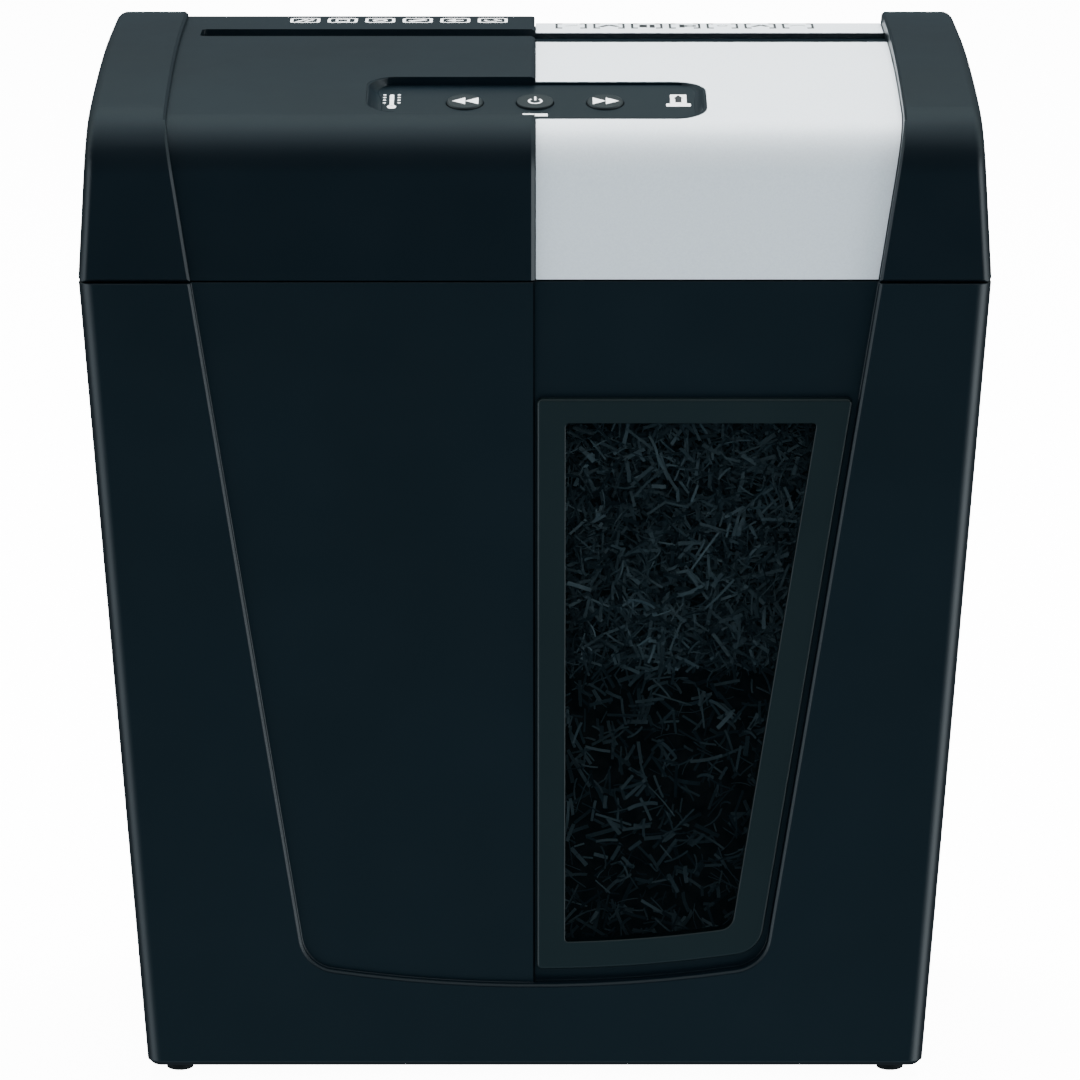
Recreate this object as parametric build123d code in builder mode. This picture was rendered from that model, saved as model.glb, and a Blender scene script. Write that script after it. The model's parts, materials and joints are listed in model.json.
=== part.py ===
from build123d import *
import os
from math import atan, atan2, cos, hypot, pi, radians, sin, sqrt, tan

# A desk-side micro-cut paper shredder: a tapered waste bin and a lift-off cutting head.
# Millimetres, +Z up, front at -Y, origin on the floor under the middle of the bin.

# Outer form
SEAM_WIDTH = 286.0
SEAM_DEPTH = 158.0
BASE_WIDTH = 250.0
BASE_DEPTH = 144.0
FOOT_HEIGHT = 3.5
SEAM_HEIGHT = 262.0
HEAD_RISE = 63.4
SEAM_GAP = 0.6
WALL = 2.6
BIN_FLOOR = 3.0
CORNER_RADIUS = 5.0
BASE_EDGE_BEVEL = 1.6
HEAD_SIDE_LEAN = 0.0625
HEAD_FRONT_LEAN = 0.0286
CROWN_DROP = 14.0
CROWN_LEVEL = 44.0
SHOULDER_RADIUS = 20.0
REAR_RADIUS = 10.0
REAR_SHRINK = 0.8
CAP_EDGE_RADIUS = 4.0
LEAST_ROUND = 1.0
ROUND_SIDES = 8
BORE_SIDES = 12
KEY_SIDES = 24
SKIN_TOLERANCE = 0.01

# Shield-shaped recess between the two proud end caps, on the front and over the top
CAP_WIDTH = 35.2
CAP_TOP_WIDTH = 27.6
SHIELD_SLOPE = 0.1525
SHIELD_DROP = 230.8
SHIELD_BOTTOM_RADIUS = 440.0
SHIELD_CORNER = 12.0
SHIELD_DEPTH = 2.4
BAY_DEPTH = 4.4
STEP_BEVEL = 0.8
CENTRE_BEVEL = 0.6

# Window panel in the right half of the shield, heights measured down the front face from the seam
PANEL_THICKNESS = 2.6
PANEL_DROP = 37.8
PANEL_EDGE_GAP = 2.0
PANEL_BOTTOM_GAP = 4.6
PANEL_LEFT_GAP = 0.7
PANEL_CORNER = 10.0
PANEL_EDGE_ROUND = 0.8
WINDOW_DROP = 45.5
WINDOW_LEFT = 9.5
WINDOW_FRAME = 12.0
WINDOW_SILL = 13.5
WINDOW_CORNER = 5.0
PLUG_CLEARANCE = 0.15

# Feet and the gussets that carry the head
FOOT_RADIUS = 4.3
FOOT_SIDE_INSET = 10.0
FOOT_FRONT_INSET = 11.0
GUSSET_THICKNESS = 4.0
GUSSET_REACH = 10.0
GUSSET_HEIGHT = 22.0
GUSSET_SPREAD = 90.0

# Silver fascia
FASCIA_THICKNESS = 1.8
FASCIA_GAP = 0.3
EDGE_RIM = 0.8

# Paper slot and its guides
SLOT_LENGTH_MARGIN = 4.0
SLOT_WIDTH = 15.0
SLOT_SETBACK = 40.0
SLOT_CORNER = 2.0
STRIP_SETBACK = 4.0
THROAT_WIDTH = 5.6
GUIDE_THICKNESS = 2.0
GUIDE_FLANGE = 7.0
SEAT_CLEARANCE = 0.2

# Control deck
DECK_LENGTH = 106.4
DECK_WIDTH = 34.0
DECK_CORNER = 9.0
DECK_SETBACK = 35.8
DECK_TILT = 13.0
DECK_SINK = 1.95
DECK_THICKNESS = 2.2
DECK_CLEARANCE = 0.15
DECK_LEDGE = 3.5
DECK_SEAT = 2.0
DECK_COLLAR = 3.0
BUTTON_RADIUS = 5.8
BUTTON_SPACING = 22.2
BUTTON_OFFSET = 1.6
BUTTON_PROUD = 0.7
BUTTON_CLEARANCE = 0.15
BUTTON_FLANGE_SIDE = 13.6
BUTTON_FLANGE_HEIGHT = 1.8
BUTTON_TRAVEL = 1.0
LENS_LENGTH = 8.2
LENS_WIDTH = 2.4
LENS_OFFSET = -8.2
BOARD_THICKNESS = 1.6
BOARD_POST = 7.0
POST_SIDE = 4.0
TACT_SIDE = 6.0

# Base tray, which hangs into the mouth of the bin
TRAY_DROP = 26.0
TRAY_RISE = 8.0
TRAY_WALL = 2.2
TRAY_FLOOR = 2.5
TRAY_CLEARANCE = 0.6
TRAY_CORNER = 4.0
OUTLET_MARGIN = 3.0
BOSS_RADIUS = 5.2
BOSS_HEIGHT = 28.0
BOSS_SIDE_INSET = 14.0
BOSS_FRONT_INSET = 17.0
BOSS_REAR_INSET = 14.0
SCREW_RADIUS = 1.6
SCREW_HEAD_RADIUS = 3.2
SCREW_HEAD_HEIGHT = 2.4
SCREW_LENGTH = 16.0
SCREW_CLEARANCE = 0.1
SCREW_WEB = 6.0

# Cutters
CUTTER_Z = 6.0
CUTTER_SPACING = 27.0
DISC_RADIUS = 15.0
DISC_ROOT = 12.8
DISC_WIDTH = 4.2
DISC_PITCH = 10.4
DISC_HOOKS = 4
DISC_TWIST = 17.0
HOOK_FALL = 0.88
SPACER_RADIUS = 9.5
HEX_RADIUS = 7.0
JOURNAL_RADIUS = 5.0
DRIVE_RADIUS = 4.8
RUNNING_CLEARANCE = 0.05
PUSH_CLEARANCE = 0.02
COMB_FINGER_CLEARANCE = 0.35
COMB_TIP_GAP = 0.8
COMB_BAR = 3.6
COMB_BACK_GAP = 0.9
COMB_HEIGHT = 22.0
COMB_WRAP = 40.0

# Frame
END_BAY = 19.8
PLATE_THICKNESS = 2.5
MOUNT_PAD_HEIGHT = 2.0
MOUNT_PAD_LENGTH = 12.0
MOUNT_PAD_WIDTH = 8.0
BUSH_RADIUS = 7.0
BUSH_FLANGE_RADIUS = 9.0
BUSH_FLANGE = 1.0
TIE_RADIUS = 4.0
TIE_OFFSETS = ((-40.0, -16.0), (25.0, -19.0), (26.0, 20.0))
PLATE_EYE = 8.0
END_FLOAT = 0.3

# Gear train, from the motor pinion to the front cutter shaft
PINION_TEETH = 8
FIRST_WHEEL_TEETH = 32
FIRST_MODULE = 1.25
FIRST_PINION_TEETH = 10
SECOND_WHEEL_TEETH = 30
SECOND_MODULE = 1.3
SECOND_PINION_TEETH = 9
FINAL_TEETH = 24
FINAL_MODULE = 1.65
TIMING_TEETH = 14
TIMING_FACE = 6.0
TOOTH_ADDENDUM = 0.9
TOOTH_DEDENDUM = 1.2
TIP_SHARE = 0.1
ROOT_SHARE = 0.29
GEAR_FACE = 5.0
GEAR_GAP = 0.6
AXLE_RADIUS = 3.0
HUB_RADIUS = 4.0
SHAFT_STUB = 0.4
BRACKET_THICKNESS = 1.5
BRACKET_EYE = 6.5
STANDOFF_RADIUS = 3.5
STANDOFF_FRONT = (6.5, 29.3)
STANDOFF_TOP = (12.5, 23.7)
STANDOFF_REAR = (21.5, 18.0)
FIRST_LIFT = 35.0

# Motor
MOTOR_REACH = 53.5
MOTOR_DROP = 3.0
MOTOR_RADIUS = 22.5
MOTOR_FLAT = 20.0
MOTOR_LENGTH = 66.0
MOTOR_BELL_RADIUS = 19.0
MOTOR_BELL_LENGTH = 9.0
MOTOR_BOSS_RADIUS = 8.0
MOTOR_SHAFT_RADIUS = 2.5
FAN_RADIUS = 19.0
FAN_HUB = 5.0
FAN_WIDTH = 6.0
BLADE_THICKNESS = 1.2
FAN_BLADES = 8
FAN_GAP = 0.8

# Boards and switches
POWER_BOARD_LENGTH = 88.0
POWER_BOARD_WIDTH = 42.0
POWER_POST = 8.0
POWER_SIDE_GAP = 6.0
SWITCH_LENGTH = 20.0
SWITCH_WIDTH = 6.4
SWITCH_HEIGHT = 10.0
SWITCH_INSET = 21.0
SWITCH_Y = -30.0
PLUNGER_SIDE = 4.0
PLUNGER_REACH = 4.0
PLUNGER_TRAVEL = 1.5
PLUNGER_STEM = 3.0
PLUNGER_COLLAR = 6.4
PLUNGER_COLLAR_HEIGHT = 1.5
SENSOR_LENGTH = 14.0
SENSOR_WIDTH = 5.0
SENSOR_HEIGHT = 12.0

# Rear wall
VENT_COUNT = 8
VENT_WIDTH = 2.4
VENT_HEIGHT = 20.0
VENT_PITCH = 6.0
VENT_CENTRE = 78.0
VENT_RISE = 28.0
GLAND_RADIUS = 7.0
GLAND_BORE = 3.7
GLAND_FLANGE = 1.6
GLAND_X = -104.0
GLAND_RISE = 18.0

# Places that follow from the sizes above
HALF_WIDTH = SEAM_WIDTH / 2
HALF_DEPTH = SEAM_DEPTH / 2
RIM_Z = SEAM_HEIGHT - SEAM_GAP / 2
COVER_Z = SEAM_HEIGHT + SEAM_GAP / 2
CROWN_Z = SEAM_HEIGHT + HEAD_RISE
CROWN_Y = HALF_DEPTH - CROWN_LEVEL
CROWN_RADIUS = ((CROWN_Y + HALF_DEPTH) ** 2 + CROWN_DROP**2) / (2 * CROWN_DROP)
SLOT_Y = HALF_DEPTH - SLOT_SETBACK
SLOT_FRONT = SLOT_Y - SLOT_WIDTH / 2
STRIP_FRONT = SLOT_Y + SLOT_WIDTH / 2 + STRIP_SETBACK
DECK_Y = -HALF_DEPTH + DECK_SETBACK
CLEAR = HEAD_RISE
SHIELD_TOP_HALF = HALF_WIDTH - CAP_WIDTH
SHIELD_CROWN_HALF = HALF_WIDTH - CAP_TOP_WIDTH
SHIELD_BEND_Z = SEAM_HEIGHT + (CAP_WIDTH - CAP_TOP_WIDTH) / SHIELD_SLOPE
FASCIA_SEAT = BAY_DEPTH + FASCIA_THICKNESS
TRAY_Z = SEAM_HEIGHT - TRAY_DROP
TRAY_FLOOR_Z = TRAY_Z + TRAY_FLOOR
AXIS_Z = SEAM_HEIGHT + CUTTER_Z
FRONT_AXIS = (SLOT_Y - CUTTER_SPACING / 2, AXIS_Z)
REAR_AXIS = (SLOT_Y + CUTTER_SPACING / 2, AXIS_Z)
BOSS_Z = SEAM_HEIGHT + BOSS_HEIGHT
BOTTOM = (Align.CENTER, Align.CENTER, Align.MIN)


def taper(base, seam, z):
    """Half a tapered size of the bin at a height."""
    share = (z - FOOT_HEIGHT) / (SEAM_HEIGHT - FOOT_HEIGHT)
    return (base + (seam - base) * share) / 2


def bin_half_width(z):
    return taper(BASE_WIDTH, SEAM_WIDTH, z)


def bin_half_depth(z):
    return taper(BASE_DEPTH, SEAM_DEPTH, z)


TRAY_HALF = bin_half_width(TRAY_Z) - WALL - TRAY_CLEARANCE
TRAY_REAR = bin_half_depth(TRAY_Z) - WALL - TRAY_CLEARANCE
PLATE_OUTER = TRAY_HALF - TRAY_WALL - END_BAY
PLATE_INNER = PLATE_OUTER - PLATE_THICKNESS
SLOT_HALF = PLATE_INNER - SLOT_LENGTH_MARGIN


def crown_height(y, inset=0.0):
    """Height of the top at a depth, inside its skin by an inset: crowned in front, level behind."""
    ahead = min(y - CROWN_Y, 0)
    return CROWN_Z - CROWN_RADIUS + sqrt((CROWN_RADIUS - inset) ** 2 - ahead**2)


def head_front(z, inset=0.0):
    return -HALF_DEPTH + HEAD_FRONT_LEAN * (z - SEAM_HEIGHT) + inset


def head_side(z, inset=0.0):
    return HALF_WIDTH - HEAD_SIDE_LEAN * (z - SEAM_HEIGHT) - inset


def shield_half(z):
    return min(SHIELD_TOP_HALF + SHIELD_SLOPE * (z - SEAM_HEIGHT), SHIELD_CROWN_HALF)


def tapered_view(plane, half_size, inset, bottom, top):
    """Trapezium seen from the front or the side of the bin, inside its outer skin by an inset."""
    low = half_size(bottom) - inset
    high = half_size(top) - inset
    with BuildSketch(plane) as view:
        Polygon((-low, bottom), (low, bottom), (high, top), (-high, top), align=None)
    return view.sketch


def head_profile(inset, rear, bottom):
    """Side view of the head, inside its outer skin by an inset, out to a rear plane."""
    high = CROWN_Z + CLEAR
    with BuildSketch(Plane.YZ) as view:
        Polygon(
            (head_front(bottom, inset), bottom),
            (CROWN_Y, bottom),
            (CROWN_Y, high),
            (head_front(high, inset), high),
            align=None,
        )
        with Locations((CROWN_Y, CROWN_Z - CROWN_RADIUS)):
            Circle(CROWN_RADIUS - inset, mode=Mode.INTERSECT)
        top_corners = view.vertices().sort_by(Axis.Y)[-2:]
        fillet(top_corners.sort_by(Axis.X)[0], SHOULDER_RADIUS - inset)
        level = CROWN_Z - inset
        Polygon((CROWN_Y, bottom), (rear, bottom), (rear, level), (CROWN_Y, level), align=None)
        if rear <= HALF_DEPTH:
            rear_corners = view.vertices().sort_by(Axis.X)[-2:]
            fillet(rear_corners.sort_by(Axis.Y)[-1], max(REAR_RADIUS - REAR_SHRINK * inset, LEAST_ROUND))
    return view.sketch


def small_round(radius, sides=ROUND_SIDES, mode=Mode.ADD):
    """Small boss, hole or bore, drawn with a few flats that touch its circle."""
    return RegularPolygon(radius, sides, major_radius=False, rotation=180 / sides, mode=mode)


def head_half_view(side, inset, inner):
    """Front view of one half of the recess in the head, from the middle out to the end cap."""
    low, high = COVER_Z - CLEAR, CROWN_Z + CLEAR
    outline = (
        (inner, low),
        (shield_half(low) - inset, low),
        (SHIELD_CROWN_HALF - inset, SHIELD_BEND_Z),
        (SHIELD_CROWN_HALF - inset, high),
        (inner, high),
    )
    with BuildSketch(Plane.XZ) as view:
        Polygon(*((side * x, z) for x, z in outline), align=None)
    return view.sketch


def gear_mate(first_teeth, first_phase, second_teeth, direction):
    """Turn of a gear that meshes with another, whose centre lies in a direction from the first."""
    return direction + pi + pi / second_teeth + (direction - first_phase) * first_teeth / second_teeth


def gear_outline(plane, teeth, module, phase):
    """Toothed wheel seen along its axle, with straight flanks thinned for backlash."""
    tip = module * (teeth / 2 + TOOTH_ADDENDUM)
    root = module * (teeth / 2 - TOOTH_DEDENDUM)
    corners = ((root, -ROOT_SHARE), (tip, -TIP_SHARE), (tip, TIP_SHARE), (root, ROOT_SHARE))
    turns = [(r, phase + (k + share) * 2 * pi / teeth) for k in range(teeth) for r, share in corners]
    with BuildSketch(plane) as outline:
        Polygon(*((r * cos(a), r * sin(a)) for r, a in turns), align=None)
    return outline.sketch


def at_axis(axis, x):
    """Plane square to a shaft, whose centre is given as depth and height."""
    return Plane(origin=(x, *axis), x_dir=(0, 1, 0), z_dir=(1, 0, 0))


def bearing(start, end):
    """Angle from one axle to another, both given as depth and height."""
    return atan2(end[1] - start[1], end[0] - start[0])


# Waste bin
FRONT_LEAN = atan((SEAM_DEPTH - BASE_DEPTH) / 2 / (SEAM_HEIGHT - FOOT_HEIGHT))
FRONT_FACE = Plane(
    origin=(0, -HALF_DEPTH, SEAM_HEIGHT),
    x_dir=(1, 0, 0),
    z_dir=(0, -cos(FRONT_LEAN), -sin(FRONT_LEAN)),
)


def shield_outline(plane, inner, edge, rise, corner, top):
    """Right half of the shield on the front face, kept inside its edge and bottom by two gaps."""
    low = 2 * SHIELD_DROP
    with BuildSketch(plane) as outline:
        Polygon(
            (inner, top),
            (inner, -low),
            (SHIELD_TOP_HALF - edge - low * SHIELD_SLOPE, -low),
            (SHIELD_TOP_HALF - edge + top * SHIELD_SLOPE, top),
            align=None,
        )
        with Locations((0, SHIELD_BOTTOM_RADIUS - SHIELD_DROP)):
            Circle(SHIELD_BOTTOM_RADIUS - rise, mode=Mode.INTERSECT)
        fillet(outline.vertices().sort_by(Axis.Y)[:2].sort_by(Axis.X)[-1], corner)
    return outline.sketch


def window_outline(plane, inset):
    """Opening in the bin behind the window panel, or the panel's plug inside it."""
    return shield_outline(
        plane,
        WINDOW_LEFT + inset,
        WINDOW_FRAME + inset,
        WINDOW_SILL + inset,
        WINDOW_CORNER - inset,
        -WINDOW_DROP - inset,
    )


with BuildPart() as bin_hollow:
    bottom = FOOT_HEIGHT + BIN_FLOOR
    extrude(tapered_view(Plane.XZ, bin_half_width, WALL, bottom, RIM_Z), amount=SEAM_DEPTH, both=True)
    side_view = tapered_view(Plane.YZ, bin_half_depth, WALL, bottom, RIM_Z)
    extrude(side_view, amount=SEAM_WIDTH, both=True, mode=Mode.INTERSECT)
    for side, depth in ((-1, SHIELD_DEPTH), (1, BAY_DEPTH)):
        pad = shield_outline(
            FRONT_FACE.offset(-depth - WALL), -side * WALL / 2, -WALL, -WALL, SHIELD_CORNER + WALL, CLEAR
        )
        pad = pad if side > 0 else pad.mirror(Plane.YZ)
        extrude(pad, amount=depth + 2 * WALL, dir=FRONT_FACE.z_dir, mode=Mode.SUBTRACT)


def front_depth(point):
    """How far a point of the bin lies inside the plane of its front face."""
    return -FRONT_FACE.to_local_coords(point).Z


def on_shield_edge(edge):
    """True for the edges round the shield where the proud end caps step down."""
    ends = [vertex.center() for vertex in edge.vertices()]
    flush = all(abs(front_depth(point)) < SKIN_TOLERANCE for point in ends)
    inside = all(abs(point.X) < SHIELD_TOP_HALF + SKIN_TOLERANCE for point in ends)
    return flush and inside and edge.center().Z < RIM_Z - LEAST_ROUND and not edge.is_interior


def on_centre_edge(edge):
    """True for the edge in the middle where the left half of the shield stands above the right."""
    ends = [vertex.center() for vertex in edge.vertices()]
    middle = all(abs(point.X) < SKIN_TOLERANCE for point in ends)
    return middle and all(abs(front_depth(point) - SHIELD_DEPTH) < SKIN_TOLERANCE for point in ends)


def gusset(side, y, top, reach, height):
    """Rib on a side wall of the bin, level on top and sloping away below."""
    low = top - height
    outline = (
        (bin_half_width(top) - WALL / 2, top),
        (bin_half_width(top) - WALL - reach, top),
        (bin_half_width(low) - WALL, low),
        (bin_half_width(low) - WALL / 2, low),
    )
    with BuildSketch(Plane.XZ.offset(-y)) as view:
        Polygon(*((side * x, z) for x, z in outline), align=None)
    return view.sketch


with BuildPart() as bin_shell:
    extrude(tapered_view(Plane.XZ, bin_half_width, 0, FOOT_HEIGHT, RIM_Z), amount=SEAM_DEPTH, both=True)
    side_view = tapered_view(Plane.YZ, bin_half_depth, 0, FOOT_HEIGHT, RIM_Z)
    extrude(side_view, amount=SEAM_WIDTH, both=True, mode=Mode.INTERSECT)
    fillet(bin_shell.edges().filter_by(lambda e: e.bounding_box().size.Z > RIM_Z / 2), CORNER_RADIUS)
    chamfer(bin_shell.faces().sort_by(Axis.Z)[0].edges(), BASE_EDGE_BEVEL)
    add(bin_hollow.part, mode=Mode.SUBTRACT)
    for side, depth in ((-1, SHIELD_DEPTH), (1, BAY_DEPTH)):
        recess = shield_outline(FRONT_FACE.offset(-depth), 0, 0, 0, SHIELD_CORNER, CLEAR)
        recess = recess if side > 0 else recess.mirror(Plane.YZ)
        extrude(recess, amount=2 * depth, dir=FRONT_FACE.z_dir, mode=Mode.SUBTRACT)
    chamfer(bin_shell.edges().filter_by(on_shield_edge), STEP_BEVEL)
    chamfer(bin_shell.edges().filter_by(on_centre_edge), CENTRE_BEVEL)
    window = window_outline(FRONT_FACE.offset(-BAY_DEPTH), 0)
    extrude(window, amount=-2 * WALL, mode=Mode.SUBTRACT)
    for side in (-1, 1):
        for y in (-GUSSET_SPREAD / 2, GUSSET_SPREAD / 2):
            rib = gusset(side, y, TRAY_Z, GUSSET_REACH, GUSSET_HEIGHT)
            extrude(rib, amount=GUSSET_THICKNESS / 2, both=True)
    stop_reach = SWITCH_INSET - WALL + PLUNGER_SIDE / 2
    stop = gusset(-1, SWITCH_Y, TRAY_Z - PLUNGER_REACH, stop_reach, GUSSET_HEIGHT)
    extrude(stop, amount=GUSSET_THICKNESS / 2, both=True)

with BuildPart() as window_panel:
    panel = shield_outline(
        FRONT_FACE.offset(-BAY_DEPTH),
        PANEL_LEFT_GAP,
        PANEL_EDGE_GAP,
        PANEL_BOTTOM_GAP,
        PANEL_CORNER,
        -PANEL_DROP,
    )
    extrude(panel, amount=PANEL_THICKNESS)
    fillet(window_panel.faces().sort_by(Axis.Y)[0].edges(), PANEL_EDGE_ROUND)
    extrude(window_outline(FRONT_FACE.offset(-BAY_DEPTH), PLUG_CLEARANCE), amount=-WALL)

with BuildPart() as bin_feet:
    foot_x = BASE_WIDTH - 2 * FOOT_SIDE_INSET
    foot_y = BASE_DEPTH - 2 * FOOT_FRONT_INSET
    with BuildSketch():
        with GridLocations(foot_x, foot_y, 2, 2):
            small_round(FOOT_RADIUS, BORE_SIDES)
    extrude(amount=FOOT_HEIGHT)

# Head cover
CENTRE_INSETS = {-1: SHIELD_DEPTH, 1: FASCIA_SEAT}
CAVITY_REAR = HALF_DEPTH - WALL
BOSS_PLACES = [
    (side * (HALF_WIDTH - BOSS_SIDE_INSET), y)
    for side in (-1, 1)
    for y in (-HALF_DEPTH + BOSS_FRONT_INSET, HALF_DEPTH - BOSS_REAR_INSET)
]
DECK_PLANE = Plane(
    origin=(0, DECK_Y, crown_height(DECK_Y, BAY_DEPTH) - DECK_SINK),
    x_dir=(1, 0, 0),
    z_dir=(0, -sin(radians(DECK_TILT)), cos(radians(DECK_TILT))),
)


def deck_outline(level, growth):
    """Outline of the control deck at a level above its face, grown all round."""
    with BuildSketch(DECK_PLANE.offset(level)) as outline:
        RectangleRounded(DECK_LENGTH + 2 * growth, DECK_WIDTH + 2 * growth, DECK_CORNER + growth)
    return outline.sketch


def boss_plan(z, radius):
    """The four screw places of the head, each as a small round at a height."""
    with BuildSketch(Plane.XY.offset(z)) as plan:
        with Locations(*BOSS_PLACES):
            small_round(radius)
    return plan.sketch


def on_front_step(edge):
    """True for the edges on the front of the head's end caps where they step down to the recess."""
    ends = [vertex.center() for vertex in edge.vertices()]
    stepped = all(abs(abs(point.X) - shield_half(point.Z)) < SKIN_TOLERANCE for point in ends)
    above = COVER_Z + LEAST_ROUND < edge.center().Z
    below = all(point.Z < SHIELD_BEND_Z + SKIN_TOLERANCE for point in ends)
    return stepped and above and below and not edge.is_interior


def on_left_skin(point):
    """True where a point lies on the recessed top or front of the head's left half."""
    top = abs(point.Z - crown_height(point.Y, SHIELD_DEPTH)) < SKIN_TOLERANCE
    return top or abs(point.Y - head_front(point.Z, SHIELD_DEPTH)) < SKIN_TOLERANCE


def on_ridge_edge(edge):
    """True for the edge in the middle of the head where the left half stands above the fascia."""
    ends = [vertex.center() for vertex in edge.vertices()]
    return all(abs(point.X) < SKIN_TOLERANCE and on_left_skin(point) for point in ends)


def head_recess(side, inset):
    """What is cut away outside the recessed skin, on one half of the head."""
    with BuildPart() as recess:
        extrude(head_half_view(side, 0, 0), amount=2 * SEAM_DEPTH, both=True)
        skin = head_profile(inset, 2 * SEAM_DEPTH, COVER_Z - 2 * CLEAR)
        extrude(skin, amount=SEAM_WIDTH, both=True, mode=Mode.SUBTRACT)
    return recess.part


def top_step_wedge(side):
    """Bevel cut along the top of an end cap, where it steps down to the recess."""
    inner = SHIELD_CROWN_HALF
    outer = SHIELD_CROWN_HALF + STEP_BEVEL
    with BuildPart() as wedge:
        with Locations((side * (inner + outer) / 2, 0, SHIELD_BEND_Z)):
            Box(STEP_BEVEL, 2 * SEAM_DEPTH, HEAD_RISE, align=BOTTOM)
        low_edge = head_profile(STEP_BEVEL, HALF_DEPTH, COVER_Z).moved(Location((side * inner, 0, 0)))
        high_edge = head_profile(0, HALF_DEPTH, COVER_Z).moved(Location((side * outer, 0, 0)))
        loft([low_edge, high_edge], ruled=True, mode=Mode.SUBTRACT)
    return wedge.part


RIM_FIRST_CUT = CAP_EDGE_RADIUS * (2 - sqrt(2))
RIM_SECOND_CUT = CAP_EDGE_RADIUS * (tan(pi / 8) - tan(pi / 16))

with BuildPart() as cap_hollow:
    low, high = COVER_Z - CLEAR, CROWN_Z + CLEAR
    with BuildSketch(Plane.XZ):
        Polygon(
            (shield_half(low) + WALL, low),
            (head_side(low, WALL), low),
            (head_side(high, WALL), high),
            (SHIELD_CROWN_HALF + WALL, high),
            (SHIELD_CROWN_HALF + WALL, SHIELD_BEND_Z),
            align=None,
        )
    extrude(amount=SEAM_DEPTH, both=True)
    extrude(head_profile(WALL, CAVITY_REAR, low), amount=SEAM_WIDTH, both=True, mode=Mode.INTERSECT)
    mirror(about=Plane.YZ)

with BuildPart() as cover_bosses:
    extrude(boss_plan(BOSS_Z, BOSS_RADIUS), amount=HEAD_RISE)
    inner_skin = head_profile(WALL / 2, HALF_DEPTH, BOSS_Z)
    extrude(inner_skin, amount=SEAM_WIDTH, both=True, mode=Mode.INTERSECT)

with BuildPart() as deck_rim:
    extrude(deck_outline(-DECK_THICKNESS, EDGE_RIM), amount=CLEAR)
    silver_skin = head_profile(BAY_DEPTH, HALF_DEPTH, COVER_Z)
    extrude(silver_skin, amount=SEAM_WIDTH, both=True, mode=Mode.INTERSECT)

with BuildPart() as head_cover:
    extrude(head_profile(0, HALF_DEPTH, COVER_Z), amount=SEAM_WIDTH, both=True)
    front_view = tapered_view(Plane.XZ, head_side, 0, COVER_Z, CROWN_Z + CLEAR)
    extrude(front_view, amount=SEAM_DEPTH, both=True, mode=Mode.INTERSECT)
    caps = head_cover.faces().sort_by(Axis.X)
    rims = caps[0].edges() + caps[-1].edges()
    chamfer(rims.filter_by(lambda e: e.center().Z > COVER_Z + SKIN_TOLERANCE), RIM_FIRST_CUT)
    facets = head_cover.faces(Select.LAST)
    chamfer(facets.edges().filter_by(lambda e: e.length > CAP_EDGE_RADIUS), RIM_SECOND_CUT)
    for side, inset in CENTRE_INSETS.items():
        cavity = head_profile(inset + WALL, CAVITY_REAR, COVER_Z - CLEAR)
        extrude(cavity, amount=side * (SHIELD_CROWN_HALF + 2 * WALL), mode=Mode.SUBTRACT)
    add(cap_hollow.part, mode=Mode.SUBTRACT)
    extrude(deck_outline(-DECK_THICKNESS - DECK_SEAT, WALL), amount=DECK_THICKNESS + DECK_SEAT + DECK_COLLAR)
    add(cover_bosses.part)
    screw_hole = boss_plan(BOSS_Z, SCREW_RADIUS + SCREW_CLEARANCE)
    extrude(screw_hole, amount=SCREW_LENGTH, mode=Mode.SUBTRACT)
    for side, inset in CENTRE_INSETS.items():
        add(head_recess(side, inset), mode=Mode.SUBTRACT)
    chamfer(head_cover.edges().filter_by(on_front_step), STEP_BEVEL)
    for side in (-1, 1):
        add(top_step_wedge(side), mode=Mode.SUBTRACT)
    chamfer(head_cover.edges().filter_by(on_ridge_edge), CENTRE_BEVEL)
    add(deck_rim.part)
    with Locations((SHIELD_CROWN_HALF / 2, STRIP_FRONT + EDGE_RIM / 2, CROWN_Z - FASCIA_SEAT - WALL / 2)):
        Box(SHIELD_CROWN_HALF, EDGE_RIM, FASCIA_THICKNESS + WALL / 2, align=BOTTOM)
    extrude(deck_outline(-DECK_THICKNESS, 0), amount=CLEAR, mode=Mode.SUBTRACT)
    extrude(deck_outline(-DECK_THICKNESS, -DECK_LEDGE), amount=-2 * DECK_SEAT, mode=Mode.SUBTRACT)
    with BuildSketch(Plane.XY.offset(CROWN_Z)):
        with Locations((0, SLOT_Y)):
            RectangleRounded(2 * SLOT_HALF, SLOT_WIDTH, SLOT_CORNER)
    extrude(amount=-(FASCIA_SEAT + 2 * WALL), mode=Mode.SUBTRACT)
    with BuildSketch(Plane.XZ.offset(-HALF_DEPTH)):
        with Locations((VENT_CENTRE, SEAM_HEIGHT + VENT_RISE)):
            with GridLocations(VENT_PITCH, VENT_HEIGHT, VENT_COUNT, 1):
                Rectangle(VENT_WIDTH, VENT_HEIGHT)
        with Locations((GLAND_X, SEAM_HEIGHT + GLAND_RISE)):
            small_round(GLAND_RADIUS + PUSH_CLEARANCE)
    extrude(amount=2 * WALL, mode=Mode.SUBTRACT)

# Silver fascia on the right half, and the strip of it behind the slot
with BuildPart() as fascia_blank:
    extrude(head_half_view(1, FASCIA_GAP, FASCIA_GAP), amount=SEAM_DEPTH, both=True)
    extrude(head_profile(BAY_DEPTH, HALF_DEPTH, COVER_Z), amount=SEAM_WIDTH, both=True, mode=Mode.INTERSECT)
    seat = head_profile(FASCIA_SEAT, 2 * SEAM_DEPTH, COVER_Z - CLEAR)
    extrude(seat, amount=SEAM_WIDTH, both=True, mode=Mode.SUBTRACT)
    extrude(deck_outline(-CLEAR, EDGE_RIM + FASCIA_GAP), amount=2 * CLEAR, mode=Mode.SUBTRACT)

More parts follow.
